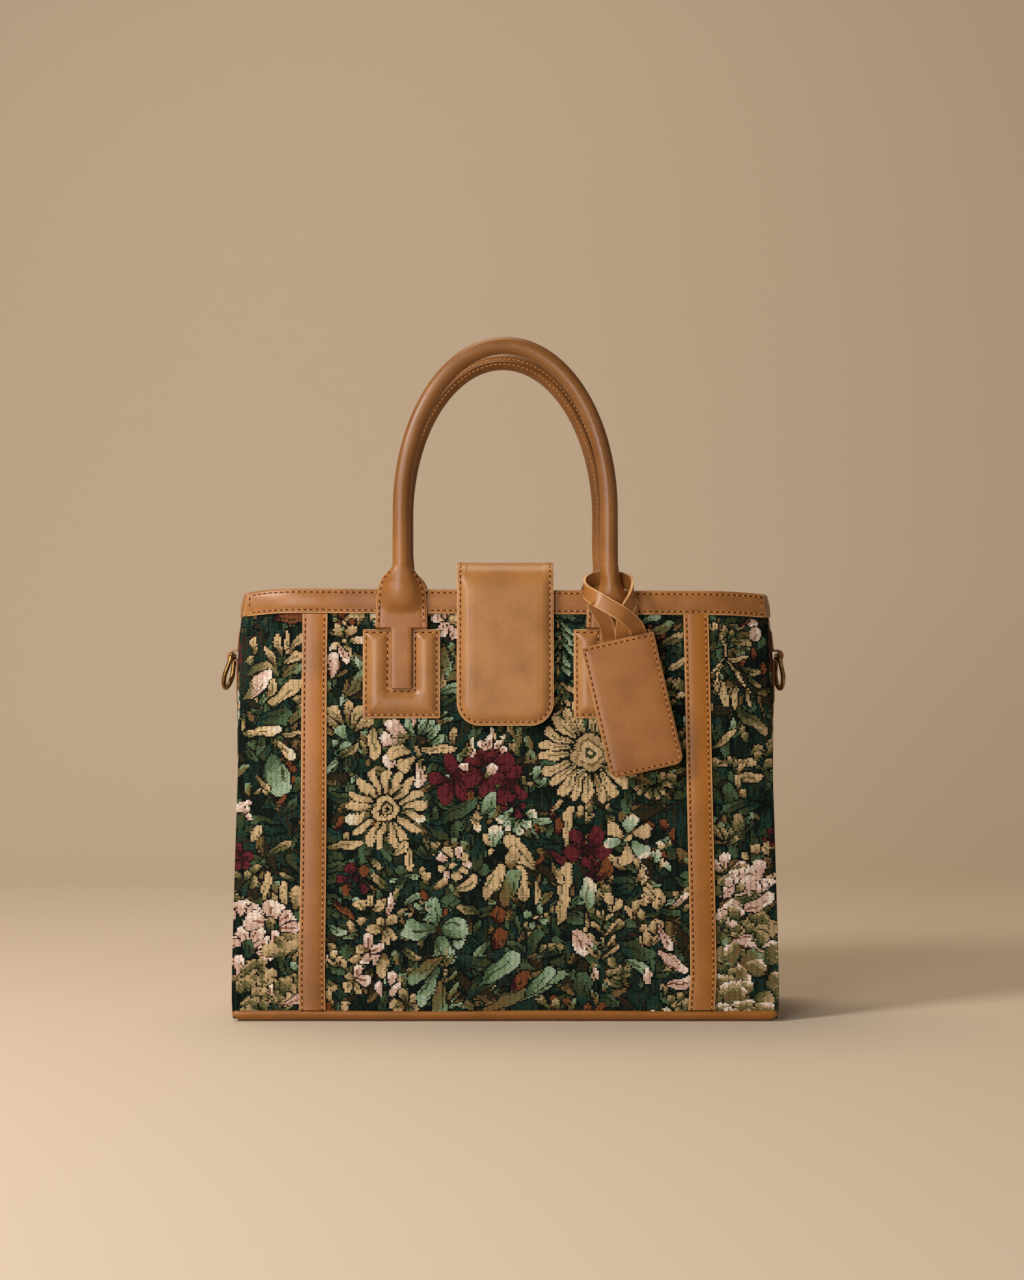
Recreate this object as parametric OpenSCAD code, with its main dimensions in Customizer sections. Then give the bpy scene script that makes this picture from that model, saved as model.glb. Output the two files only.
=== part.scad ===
// Carpet bag: a structured tapestry tote with leather trim, two rolled handles,
// a padded closure flap, side D-rings and a hanging leather tag.
// X runs across the front, Y from front to back, Z up from the floor.

/* [Body] */
// Width of the tapestry body at its foot
base_w = 376; // [340:1:410]
// Depth of the tapestry body at its foot
base_d = 134; // [116:1:150]
// Width of the body at its rim
top_w = 368; // [336:1:400]
// Depth of the body at its rim, at mid width
top_d = 106; // [98:1:116]
// Height of the bag to the top of its leather band
body_h = 300; // [270:1:330]
// How far the panel corners fall back at the rim
corner_recess = 13; // [6:1:18]
// How far the rim sinks at the corners
rim_drop = 3; // [0:0.5:6]
// How far each gusset swells out below the rim
gusset_bulge = 7; // [2:0.5:9]
// Thickness of the stiffened tapestry wall
wall_t = 2.6; // [2:0.1:4]
// Thickness of the sewn lining
lining_t = 0.9; // [0.6:0.1:1.6]

/* [Leather trim] */
// Thickness of the trim leather
leather_t = 1.8; // [1.2:0.1:2.6]
// Height of the folded band round the rim
band_h = 16.5; // [12:0.5:24]
// Width of the vertical strips
strip_w = 17.5; // [12:0.5:24]
// Distance of a vertical strip from the middle of the panel
strip_reach = 135; // [120:0.5:145]
// Height of the leather lip round the base
lip_h = 7.5; // [5:0.5:12]
// Thickness of the stiffening board in the base
board_t = 3; // [2:0.5:5]

/* [Handles] */
// Distance between the two legs of a handle
handle_spacing = 145; // [125:1:165]
// Height of the straight part of a leg above the rim
leg_h = 57; // [45:1:75]
// Height of the arch above its straight legs
arch_h = 116; // [95:1:130]
// Diameter of the rolled grip
grip_d = 12.2; // [10:0.2:15]
// Width of the flat tab below each leg
tab_w = 35.5; // [30:0.5:42]
// Width of the tongue sewn into the patch slot
tongue_w = 15; // [12:0.5:19]

/* [Patches] */
// Width of a padded U patch
patch_w = 53.5; // [46:0.5:60]
// Height of a padded U patch
patch_h = 62; // [54:0.5:72]
// Thickness of the padding at its crown
patch_t = 5; // [3.6:0.1:6.5]
// Distance from the rim down to the top of a patch
patch_top = 27; // [22:0.5:34]
// Length of the slot
slot_h = 41.5; // [34:0.5:46]

/* [Flap] */
// Width of the closure flap
flap_w = 67; // [54:0.5:80]
// Thickness of the padded flap
flap_t = 5; // [3.5:0.1:7]
// Height of the flap above the rim
flap_rise = 19; // [14:0.5:26]
// Reach of the flap down the front, from the rim
flap_drop = 94; // [75:1:115]
// Radius of the flap's lower corners
flap_corner_r = 16; // [8:0.5:24]
// Length of the flap's end sewn to the back
anchor_h = 42; // [30:1:60]
// Diameter of the hidden magnets
magnet_d = 18; // [12:0.5:22]

/* [D-rings] */
// Clear width inside a ring
ring_w = 20; // [16:0.5:26]
// Diameter of the ring wire
wire_d = 3.2; // [2.4:0.1:4]
// Length of the ring's straight sides
ring_leg = 11; // [7:0.5:15]
// Height of the ring bar below the rim
ring_drop = 44; // [36:0.5:70]
// Outward lean of the left ring at rest
left_ring_lean = 13; // [0:1:20]
// Outward lean of the right ring at rest
right_ring_lean = 4; // [0:1:20]
// Length of the leather tab that holds a ring
ring_tab_h = 52; // [44:1:70]

/* [Tag] */
// Width of the tag
tag_w = 53; // [44:0.5:60]
// Length of the tag
tag_h = 93; // [80:1:105]
// Sideways tilt of the hanging tag
tag_tilt = 13; // [0:1:16]
// Radius of the tag's lower corners
tag_corner_r = 6; // [3:0.5:10]
// Width of the tag's strap
strap_w = 9; // [6:0.5:11]

/* [Hidden] */
$fn = 48;

// Gap left between sewn layers, and overrun of a cut
seam = 0.3;
over = 1;

// The base tray and the walls that stand in it
wall_foot = leather_t + seam;
wall_top = body_h - leather_t - seam;
wall_h = wall_top - wall_foot;
tray_corner_r = 4;
tray_edge_r = 5;
lean = atan((base_d - top_d) / 2 / wall_h);
flat_half = strip_reach + strip_w / 2;
fold_power_share = 1.7;

// Outward levels of the trim, measured from the face of a panel
on_panel = seam;
on_band = leather_t + 2 * seam;
grip_r = grip_d / 2;
leg_x = handle_spacing / 2;
tab_rise = 11;
bend_v = grip_r + tab_rise;
neck_v = bend_v - grip_r - seam;
flat_t = 2.8;
slot_w = tongue_w + 2 * seam;
tongue_end = patch_top + slot_h - seam;

// The flap's bends, its fold line at the back and its magnets
flap_bend_r = 15;
magnet_t = 2;
flap_out = on_panel + 2 * magnet_t + 2 * seam;
flap_fold_v = -(band_h + 4 * leather_t);
magnet_v = -flap_drop + magnet_d;

// The ring bar, its leather eye and the eye's running fit
wire_r = wire_d / 2;
bar_bend_share = 0.7;
bar_bend_r = wire_d * bar_bend_share;
bar_half = ring_w / 2 + wire_r;
eye_play = 0.08;
eye_r = wire_r + eye_play + leather_t;
eye_w = 2 * (bar_half - bar_bend_r) - 4 * seam;
ring_out = on_panel + leather_t + eye_r - leather_t / 2;

// The tag hangs in front of the right patch from a strap round the right leg
strap_t = 1.6;
loop_w = tab_w + 2 * seam;
loop_d = 27;
loop_fall = 21;
loop_sink = 8;
loop_v = neck_v - loop_sink;
loop_n = on_band + grip_r;
strand_n = loop_n + loop_d / 2;
tail_n = on_panel + patch_t + seam + strap_t / 2;
leaf_t = 1.6;
tag_n = tail_n + strap_t / 2 + seam;
tag_shift = 4.5;
tag_sink = 8.5;
tag_top_x = leg_x + tag_shift;
tag_top_v = -(patch_top + tag_sink);

// Colours of the materials
tapestry_colour = "#2b3a33";
leather_colour = "#b07b4a";
dark_leather_colour = "#9c6634";
lining_colour = "#b8a688";
board_colour = "#6f6252";
brass_colour = "#b08a4a";
steel_colour = "#8d8f90";

// Joins a row of closed rings into one solid. Each ring runs out along one side and
// back along the other, so its ends close by pairing the first point with the last.
module loft(rings) {
    n = len(rings[0]);
    last = (len(rings) - 1) * n;
    points = [for (ring = rings) each ring];
    sides = [for (i = [0 : len(rings) - 2], j = [0 : n - 1])
        let (a = i * n + j, b = i * n + (j + 1) % n, c = b + n, d = a + n)
        each [[a, d, c], [a, c, b]]];
    ends = [for (k = [0 : n / 2 - 2])
        let (a = k, b = k + 1, c = n - 2 - k, d = n - 1 - k)
        each [[a, b, c], [a, c, d], [last + c, last + b, last + a], [last + d, last + c, last + a]]];
    faces = concat(sides, [for (face = ends) if (face.x != face.y && face.y != face.z) face]);
    polyhedron(points, turned(points, faces));
}

// The faces, turned over if they would leave the solid inside out
function turned(points, faces) =
    let (parts = [for (f = faces) points[f.x] * cross(points[f.y], points[f.z])])
    parts * [for (p = parts) 1] < 0 ? faces : [for (f = faces) [f.z, f.y, f.x]];

function reverse(list) = [for (i = [len(list) - 1 : -1 : 0]) list[i]];

function unit(v) = v / norm(v);

// Half width and half depth of the body, up being the share of the wall's height
function half_w(up) = (base_w + (top_w - base_w) * up) / 2;
function half_d(up) = (base_d + (top_d - base_d) * up) / 2;

// A point on a panel: column -1 to 1 crosses the flat middle, and 1 to 2 the folded sides.
// out is measured from the outer face, and grow lengthens the panel at its side edges.
function panel_point(column, up, out, grow = 0) =
    let (
        side = abs(column) > 1 ? abs(column) - 1 : 0,
        fold_w = half_w(up) - flat_half,
        past = side * (fold_w + grow),
        x = side > 0 ? sign(column) * (flat_half + past) : column * flat_half,
        back = corner_recess * up * pow(past / fold_w, fold_power_share),
        rim = wall_h - rim_drop * side * side
    )
    [x, -half_d(up) - out + back, wall_foot + up * rim];

// A point on the right gusset, across being -1 at its front edge and 1 at its back edge
function swell(up) = gusset_bulge * sin(160 * pow(up, 3));
function gusset_point(across, up, out, reach) = [
    half_w(up) + swell(up) * (1 - across * across) + out,
    across * reach,
    wall_foot + up * (wall_h - rim_drop)
];
function gusset_reach(up) = half_d(up) - corner_recess * up - wall_t - seam;

column_shares = [-2, -1.8, -1.6, -1.4, -1.2, -1, 1, 1.2, 1.4, 1.6, 1.8, 2];
across_shares = [-1, -0.6, -0.2, 0.2, 0.6, 1];
up_shares = [0, 0.15, 0.3, 0.45, 0.6, 0.7, 0.8, 0.9, 0.95, 1];

// Frames on the faces of the bag: the origin is on the rim, outward is -Y, up is Z
module on_front() {
    translate([0, -top_d / 2, wall_top]) rotate([-lean, 0, 0]) children();
}
module on_back() {
    rotate([0, 0, 180]) on_front() children();
}
module on_right(drop) {
    up = 1 - drop / wall_h;
    translate([half_w(up) + swell(up), 0, wall_top - drop]) children();
}

// Tapestry panel, a bent wall
module panel() {
    loft([for (c = column_shares) concat(
        [for (up = up_shares) panel_point(c, up, 0)],
        [for (up = reverse(up_shares)) panel_point(c, up, -wall_t)])]);
}
module front_panel() {
    color(tapestry_colour) panel();
}
module back_panel() {
    color(tapestry_colour) rotate([0, 0, 180]) panel();
}

// Tapestry gusset between the panels
module gusset() {
    loft([for (a = across_shares) concat(
        [for (up = up_shares) gusset_point(a, up, 0, gusset_reach(up))],
        [for (up = reverse(up_shares)) gusset_point(a, up, -wall_t, gusset_reach(up))])]);
}
module right_gusset() {
    color(tapestry_colour) gusset();
}
module left_gusset() {
    color(tapestry_colour) rotate([0, 0, 180]) gusset();
}

// A ring of points round a rounded rectangle, for the base tray
function tray_ring(w, d, r, z) = [
    for (corner = [0 : 3], turn = [0 : 22.5 : 90])
    let (
        angle = corner * 90 + turn,
        sx = corner == 0 || corner == 3 ? 1 : -1,
        sy = corner < 2 ? 1 : -1
    )
    [sx * (w / 2 - r) + r * cos(angle), sy * (d / 2 - r) + r * sin(angle), z]
];

// Leather base: a tray whose lip stands round the foot of the walls
module base_leather() {
    w = base_w + 2 * (leather_t + seam);
    d = base_d + 2 * (leather_t + seam);
    inset = leather_t;
    r = tray_corner_r;
    lower = [for (turn = [0 : 30 : 90])
        let (cut = tray_edge_r * (1 - sin(turn)))
        tray_ring(w - 2 * cut, d - 2 * cut, r - cut / 2, tray_edge_r * (1 - cos(turn)))];
    lip = [
        tray_ring(w, d, r, lip_h - leather_t / 3),
        tray_ring(w - leather_t / 2, d - leather_t / 2, r - leather_t / 4, lip_h),
        tray_ring(w - 2 * inset, d - 2 * inset, seam, lip_h),
        tray_ring(w - 2 * inset, d - 2 * inset, seam, leather_t)
    ];
    color(dark_leather_colour) loft(concat(lower, lip));
}

// Board that stiffens the base, between the walls
module base_board() {
    w = base_w - 2 * (wall_t + 2 * seam);
    d = base_d - 2 * (wall_t + 2 * seam);
    color(board_colour)
    translate([-w / 2, -d / 2, leather_t + seam]) cube([w, d, board_t]);
}

// One level of the lining, inset from the outer skin, with its corner seams drawn in
function lining_ring(up, inset) =
    let (
        front = [for (c = column_shares) panel_point(c, up, -inset, -inset - seam / 3)],
        right = [for (i = [1 : len(across_shares) - 2])
            gusset_point(across_shares[i], up, -inset, gusset_reach(up))]
    )
    concat(front, right, [for (p = front) [-p.x, -p.y, p.z]], [for (p = right) [-p.x, -p.y, p.z]]);

// Lining: an open sewn bag inside the walls and on the board
module lining() {
    outer = wall_t + 2 * seam;
    inner = outer + lining_t;
    foot = (board_t + seam) / wall_h;
    rising = [for (up = up_shares) if (up > 0) up];
    color(lining_colour) loft(concat(
        [lining_ring(foot, outer)],
        [for (up = rising) lining_ring(up, outer)],
        [for (up = reverse(rising)) lining_ring(up, inner)],
        [lining_ring(foot + lining_t / wall_h, inner)]));
}

// Section of the band that folds over a rim, as [out, level]: level 0 is the foot of
// its two legs, 1 the underside of the fold and 2 its crown
band_outer = seam;
band_inner = -(wall_t + lining_t + 5 * seam);
band_section = [
    [band_outer + leather_t, 0], [band_outer + leather_t, 1], [band_outer + leather_t / 2, 2],
    [band_inner - leather_t / 2, 2], [band_inner - leather_t, 1], [band_inner - leather_t, 0],
    [band_inner, 0], [band_inner, 1], [band_inner + leather_t / 2, 1],
    [band_outer - leather_t / 2, 1], [band_outer, 1], [band_outer, 0]
];
band_ups = [1 - (band_h - leather_t - seam) / wall_h, 1 + seam / wall_h, 1 + (seam + leather_t) / wall_h];

// Front and back band along the rim of a panel, mitred at its ends
module panel_band() {
    loft([for (c = column_shares)
        [for (s = band_section) panel_point(c, band_ups[s.y], s.x, s.x)]]);
}
module front_band() {
    color(leather_colour) panel_band();
}
module back_band() {
    color(leather_colour) rotate([0, 0, 180]) panel_band();
}

// Side band along the rim of a gusset, mitred to meet the front and back bands
module gusset_band() {
    loft([for (a = across_shares)
        [for (s = band_section)
            let (up = band_ups[s.y], reach = -panel_point(2, up, s.x, s.x).y - seam)
            gusset_point(a, up, s.x, reach)]]);
}
module right_band() {
    color(leather_colour) gusset_band();
}
module left_band() {
    color(leather_colour) rotate([0, 0, 180]) gusset_band();
}

// Vertical strip sewn on a panel, from under the band to the lip
module strip() {
    top = band_h - leather_t;
    length = (wall_top - lip_h - seam) / cos(lean) - top;
    edge = leather_t / 3;
    section = [
        [-strip_w / 2, 0], [-strip_w / 2, leather_t - edge], [edge - strip_w / 2, leather_t],
        [strip_w / 2 - edge, leather_t], [strip_w / 2, leather_t - edge], [strip_w / 2, 0]
    ];
    translate([0, -on_panel, -top - length])
    linear_extrude(length) polygon([for (p = section) [p.x, -p.y]]);
}
module front_left_strip() {
    color(dark_leather_colour) on_front() translate([-strip_reach, 0, 0]) strip();
}
module front_right_strip() {
    color(dark_leather_colour) on_front() translate([strip_reach, 0, 0]) strip();
}
module back_left_strip() {
    color(dark_leather_colour) on_back() translate([strip_reach, 0, 0]) strip();
}
module back_right_strip() {
    color(dark_leather_colour) on_back() translate([-strip_reach, 0, 0]) strip();
}

// Points round a superellipse with half axes a and b
ring_points = 16;
function superellipse(a, b, power) = [
    for (k = [0 : ring_points - 1])
    let (t = 180 * (2 * k + 1) / ring_points, c = cos(t), s = sin(t))
    [a * sign(c) * pow(abs(c), 2 / power), b * sign(s) * pow(abs(s), 2 / power)]
];

// Ring of the grip: round, across the arch at the given place and outward direction
function grip_ring(x, v, nx, nv, r) = [
    for (p = superellipse(r, r, 2)) [x + p.x * nx, p.y - on_band - grip_r, v + p.x * nv]
];

// Rolled grip: straight legs, an elliptic arch, and ends rounded about the bend line
module grip() {
    heel = [for (turn = [20, 45, 70])
        grip_ring(-leg_x, bend_v - grip_r * cos(turn), -1, 0, grip_r * sin(turn))];
    leg = [for (k = [0 : 2])
        grip_ring(-leg_x, bend_v + k * (leg_h - bend_v) / 3, -1, 0, grip_r)];
    arch = [for (turn = [180 : -10 : 0])
        let (out = unit([cos(turn) / leg_x, sin(turn) / arch_h]))
        grip_ring(leg_x * cos(turn), leg_h + arch_h * sin(turn), out.x, out.y, grip_r)];
    half = concat(heel, leg);
    other = [for (ring = reverse(half)) [for (p = ring) [-p.x, p.y, p.z]]];
    loft(concat(half, arch, other));
}
module front_handle() {
    color(leather_colour) on_front() grip();
}
module back_handle() {
    color(leather_colour) on_back() grip();
}

// Shares of the tab's height, width and thickness from the patch up to the neck
tab_shares = [
    [0, 1, 0], [0.36, 1, 0], [0.44, 1, 0.16], [0.54, 0.99, 0.55], [0.66, 0.97, 0.82],
    [0.75, 0.88, 0.95], [0.84, 0.7, 1], [0.92, 0.53, 1], [1, 0.42, 1]
];

// Powers of the tab's section where it is flat and where it is round
flat_power_share = 6;
round_power_share = 2.4;

// Handle tab: a tongue in the patch slot, a flat flare and the swell of the handle's core
module tab() {
    rise = neck_v + patch_top - seam;
    tongue_t = on_band + flat_t - on_panel;
    tongue = [for (v = [-tongue_end, -patch_top - seam])
        [for (p = superellipse(tongue_w / 2, tongue_t / 2, flat_power_share))
            [p.x, p.y - on_panel - tongue_t / 2, v]]];
    flare = [for (share = tab_shares)
        let (
            half_t = flat_t / 2 + share.z * (grip_r - flat_t / 2),
            a = share.y * tab_w / 2,
            power = flat_power_share + (round_power_share - flat_power_share) * share.z
        )
        [for (p = superellipse(a, half_t, power))
            [p.x, p.y - on_band - half_t, share.x * rise - patch_top + seam]]];
    loft(concat(tongue, flare));
}
module front_left_tab() {
    color(leather_colour) on_front() translate([-leg_x, 0, 0]) tab();
}
module front_right_tab() {
    color(leather_colour) on_front() translate([leg_x, 0, 0]) tab();
}
module back_left_tab() {
    color(leather_colour) on_back() translate([leg_x, 0, 0]) tab();
}
module back_right_tab() {
    color(leather_colour) on_back() translate([-leg_x, 0, 0]) tab();
}

// Shares of the patch's thickness, and how far the outline draws in there
patch_shares = [[0, 0], [0.42, 0], [0.5, 0.25], [0.52, 0.5], [0.72, 0.7], [0.92, 1], [1, 1.6]];

// Padded U patch round the tongue
module patch() {
    border = patch_t;
    loft([for (share = patch_shares)
        let (
            in = share.y * border,
            out = on_panel + share.x * (patch_t - on_panel),
            w = patch_w / 2 - in,
            top = -patch_top - seam - in,
            foot = -patch_top - patch_h + in,
            s = slot_w / 2 + in,
            slot = -patch_top - slot_h - in
        )
        [for (p = [[-w, top], [-w, foot], [w, foot], [w, top], [s, top], [s, slot], [-s, slot], [-s, top]])
            [p.x, -out, p.y]]]);
}
module front_left_patch() {
    color(leather_colour) on_front() translate([-leg_x, 0, 0]) patch();
}
module front_right_patch() {
    color(leather_colour) on_front() translate([leg_x, 0, 0]) patch();
}
module back_left_patch() {
    color(leather_colour) on_back() translate([leg_x, 0, 0]) patch();
}
module back_right_patch() {
    color(leather_colour) on_back() translate([-leg_x, 0, 0]) patch();
}

// Place of a point beside a panel, as [y, z]; side is -1 at the front and 1 at the back
function beside(side, n, v) = [
    side * (top_d / 2 + n * cos(lean) - v * sin(lean)),
    wall_top + n * sin(lean) + v * cos(lean)
];

// Points of the flap's path: each is a place and the way the path runs there
function left_of(d) = [-d.y, d.x];
function bend(corner, d1, d2, r) =
    let (
        turn = acos(d1 * d2),
        start = corner - d1 * r * tan(turn / 2),
        centre = start + left_of(d1) * r
    )
    [for (k = [0 : 6])
        let (
            a = turn * k / 6,
            d = [d1.x * cos(a) - d1.y * sin(a), d1.x * sin(a) + d1.y * cos(a)]
        )
        [centre - left_of(d) * r, d]];

flap_top = body_h + flap_rise - flap_t;
flap_start = beside(1, on_band, flap_fold_v);
flap_tip = beside(-1, flap_out, -flap_drop);
up_back = [-sin(lean), cos(lean)];
down_front = [-sin(lean), -cos(lean)];
rear_corner = flap_start + up_back * (flap_top - flap_start.y) / up_back.y;
front_corner = flap_tip + down_front * (flap_top - flap_tip.y) / down_front.y;

// Shares of the flap's half width and thickness across its padded section
flap_shares = [
    [-1, 0.42], [-0.97, 0.56], [-0.91, 0.5], [-0.82, 0.9], [-0.5, 1],
    [0.5, 1], [0.82, 0.9], [0.91, 0.5], [0.97, 0.56], [1, 0.42]
];
flap_edge_share = 0.42;
flap_tip_shares = [1, 0.7, 0.42, 0.2, 0.06, 0];
function flap_level(share, pad) = flap_t * (flap_edge_share + (share - flap_edge_share) * pad);

// One section of the flap: place, way, half width and how much of the padding is left
function flap_ring(place, way, half, pad) =
    let (out = -left_of(way))
    concat(
        [for (s = flap_shares)
            let (p = place + out * flap_level(s.y, pad))
            [s.x * half, p.x, p.y]],
        [for (s = reverse(flap_shares)) [s.x * half, place.x, place.y]]);

// Closure flap: rises from its fold behind the rim, bridges the mouth and hangs in front
module closure_flap() {
    rear = bend(rear_corner, up_back, [-1, 0], flap_bend_r);
    front = bend(front_corner, [-1, 0], down_front, flap_bend_r);
    start = flap_start + up_back * seam;
    middle = (front[6][0] + flap_tip) / 2;
    body = [for (s = concat([[start, up_back]], rear, front, [[middle, down_front]]))
        flap_ring(s[0], s[1], flap_w / 2, 1)];
    tip = [for (share = flap_tip_shares)
        let (
            left = share * flap_corner_r,
            fall = flap_corner_r - left,
            half = flap_w / 2 - flap_corner_r + sqrt(pow(flap_corner_r, 2) - pow(fall, 2))
        )
        flap_ring(flap_tip - down_front * left, down_front, half, min(1, share * 2))];
    color(leather_colour) loft(concat(body, tip));
}

// Sewn end of the flap on the back panel, below its fold
module flap_anchor() {
    color(leather_colour) on_back()
    loft([for (v = [flap_fold_v - anchor_h, flap_fold_v - flap_edge_share * flap_t, flap_fold_v])
        let (pad = v > flap_fold_v - anchor_h ? 1 : 0)
        concat(
            [for (s = flap_shares) [s.x * flap_w / 2, -on_band - flap_level(s.y, pad), v]],
            [for (s = reverse(flap_shares)) [s.x * flap_w / 2, -on_panel, v]])]);
}

// Hidden magnets that hold the flap shut
module magnet(out) {
    translate([0, -out, magnet_v]) rotate([90, 0, 0]) cylinder(h = magnet_t, d = magnet_d);
}
module panel_magnet() {
    color(steel_colour) on_front() magnet(on_panel);
}
module flap_magnet() {
    color(steel_colour) on_front() magnet(flap_out - magnet_t - seam / 2);
}

// Leather tab on the gusset, with the eye that carries the ring bar
module ring_tab() {
    color(leather_colour) on_right(ring_drop) difference() {
        union() {
            translate([on_panel, -eye_w / 2, -ring_tab_h + ring_tab_h / 3])
            cube([leather_t, eye_w, ring_tab_h]);
            translate([ring_out, eye_w / 2, 0]) rotate([90, 0, 0]) cylinder(h = eye_w, r = eye_r);
        }
        translate([ring_out, eye_w / 2 + over, 0]) rotate([90, 0, 0])
        cylinder(h = eye_w + 2 * over, r = wire_r + eye_play);
    }
}
module right_ring_tab() {
    ring_tab();
}
module left_ring_tab() {
    rotate([0, 0, 180]) ring_tab();
}

// One half of a D-ring: half its bar, a tight corner, a straight side and a quarter bow
module half_ring() {
    bar = bar_half - bar_bend_r;
    rotate([-90, 0, 0]) cylinder(h = bar, r = wire_r);
    translate([0, bar, -bar_bend_r]) rotate([90, 0, 90])
    rotate_extrude(angle = 90) translate([bar_bend_r, 0]) circle(r = wire_r);
    translate([0, bar_half, -ring_leg]) cylinder(h = ring_leg - bar_bend_r, r = wire_r);
    translate([0, 0, -ring_leg]) rotate([90, 0, 90]) rotate([0, 0, -90])
    rotate_extrude(angle = 90) translate([bar_half, 0]) circle(r = wire_r);
}

// D-ring hanging from its bar
module d_ring(swing) {
    color(brass_colour) on_right(ring_drop) translate([ring_out, 0, 0]) rotate([0, -swing, 0]) {
        half_ring();
        mirror([0, 1, 0]) half_ring();
    }
}
module right_ring() {
    d_ring(right_ring_lean);
}
module left_ring() {
    rotate([0, 0, 180]) d_ring(left_ring_lean);
}

// A stop of the strap's route: its place beside the right leg and the way its face looks
function loop_stop(turn) = [
    [loop_w / 2 * sin(turn), -loop_n - loop_d / 2 * cos(turn), loop_v - loop_fall / 2 * cos(turn)],
    [sin(turn), -cos(turn), 0]
];

// Flat strap through a row of stops
module strap(stops, width) {
    last = len(stops) - 1;
    loft([for (i = [0 : last])
        let (
            along = unit(stops[min(i + 1, last)][0] - stops[max(i - 1, 0)][0]),
            across = unit(cross(along, stops[i][1])) * width / 2,
            face = unit(cross(across, along)) * strap_t / 2,
            p = stops[i][0]
        )
        [p - across - face, p + across - face, p + across + face, p - across + face]]);
}

// Tag strap: a loop round the right leg whose strands cross in front and reach the tag
module tag_strap() {
    facing = [0, -1, 0];
    end_v = tag_top_v - strap_w;
    loop = [for (turn = [50 : 20 : 310]) loop_stop(turn)];
    under = loop_v - loop_fall / 2;
    right_tail = [
        [[tag_shift + strap_w / 2 + seam, -tail_n, end_v], facing],
        [[tag_shift + strap_w / 2 + seam, -tail_n, tag_top_v + strap_w / 3], facing],
        [[tag_shift + strap_w / 2, -(tail_n + strand_n) / 2, (tag_top_v + under) / 2], facing],
        [[loop_w / 4, -strand_n, under + strap_w / 4], facing]
    ];
    cross_over = [
        [[-loop_w / 6, -strand_n - 2 * strap_t, under], facing],
        [[loop_w / 4, -strand_n - 2 * strap_t, under - strap_w], facing],
        [[loop_w / 2, -(tail_n + strand_n) / 2, (tag_top_v + under) / 2 - strap_w / 4], facing],
        [[loop_w / 2 + strap_w / 3, -tail_n, tag_top_v + strap_w / 2], facing],
        [[loop_w / 2 + strap_w / 2, -tail_n, tag_top_v - strap_w / 2], facing]
    ];
    left_tail = [
        [[-loop_w / 3, -strand_n + strap_t, under], facing],
        [[-strap_w / 3, -(tail_n + strand_n) / 2, (tag_top_v + under) / 2], facing],
        [[tag_shift - strap_w / 2 - seam, -tail_n, tag_top_v + strap_w / 3], facing],
        [[tag_shift - strap_w / 2 - seam, -tail_n, end_v], facing]
    ];
    color(dark_leather_colour) on_front() translate([leg_x, 0, 0]) {
        strap(concat(right_tail, loop, cross_over), strap_w);
        strap(left_tail, strap_w);
    }
}

// Outline of a tag leaf below its top edge, with rounded lower corners
module leaf_outline() {
    r = tag_corner_r;
    translate([-tag_w / 2, -tag_h + r]) square([tag_w, tag_h - r]);
    translate([r - tag_w / 2, -tag_h]) square([tag_w - 2 * r, r + over]);
    for (side = [-1, 1]) translate([side * (tag_w / 2 - r), r - tag_h]) circle(r = r);
}
module leaf(out) {
    on_front() translate([tag_top_x, -out, tag_top_v]) rotate([0, -tag_tilt, 0])
    rotate([90, 0, 0]) linear_extrude(leaf_t) leaf_outline();
}
module tag_back_leaf() {
    color(leather_colour) leaf(tag_n);
}
module tag_front_leaf() {
    color(leather_colour) leaf(tag_n + leaf_t + seam / 2);
}

front_panel();
back_panel();
left_gusset();
right_gusset();
base_leather();
base_board();
lining();
front_band();
back_band();
left_band();
right_band();
front_left_strip();
front_right_strip();
back_left_strip();
back_right_strip();
front_handle();
back_handle();
front_left_tab();
front_right_tab();
back_left_tab();
back_right_tab();
front_left_patch();
front_right_patch();
back_left_patch();
back_right_patch();
closure_flap();
flap_anchor();
flap_magnet();
panel_magnet();
left_ring_tab();
right_ring_tab();
left_ring();
right_ring();
tag_strap();
tag_front_leaf();
tag_back_leaf();
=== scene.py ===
import math

import bmesh
import bpy
import numpy as np
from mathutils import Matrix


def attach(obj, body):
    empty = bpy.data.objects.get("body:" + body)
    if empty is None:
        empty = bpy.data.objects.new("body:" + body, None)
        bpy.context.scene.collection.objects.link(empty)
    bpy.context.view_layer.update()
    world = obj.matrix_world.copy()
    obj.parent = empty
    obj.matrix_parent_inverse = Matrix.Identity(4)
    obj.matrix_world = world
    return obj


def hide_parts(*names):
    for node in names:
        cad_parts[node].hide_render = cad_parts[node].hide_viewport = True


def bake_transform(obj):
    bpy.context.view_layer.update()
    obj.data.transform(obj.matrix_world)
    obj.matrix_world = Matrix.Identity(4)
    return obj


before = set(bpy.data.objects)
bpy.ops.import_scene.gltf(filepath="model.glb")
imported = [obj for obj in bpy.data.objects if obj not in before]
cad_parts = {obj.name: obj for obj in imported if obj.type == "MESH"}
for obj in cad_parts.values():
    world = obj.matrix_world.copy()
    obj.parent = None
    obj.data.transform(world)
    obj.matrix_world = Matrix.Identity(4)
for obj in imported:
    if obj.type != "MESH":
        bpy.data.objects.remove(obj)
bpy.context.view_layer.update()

# Leather base
# A shallow tray of brown leather, darker and warmer as painted shade, round the foot of the bag.
# One piece, folded up and turned over at the lip, so its edge is round and slightly uneven.

MM = 0.001


def linear(code):
    """sRGB hex to a linear RGBA colour."""
    parts = [int(code[i : i + 2], 16) / 255 for i in (1, 3, 5)]
    return [p / 12.92 if p <= 0.04045 else ((p + 0.055) / 1.055) ** 2.4 for p in parts] + [1]


def feed(tree, node, feeds):
    """Give each named socket of a node its value or the socket that feeds it."""
    for key, value in dict(feeds).items():
        if isinstance(value, bpy.types.NodeSocket):
            tree.links.new(value, node.inputs[key])
        else:
            node.inputs[key].default_value = value


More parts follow.
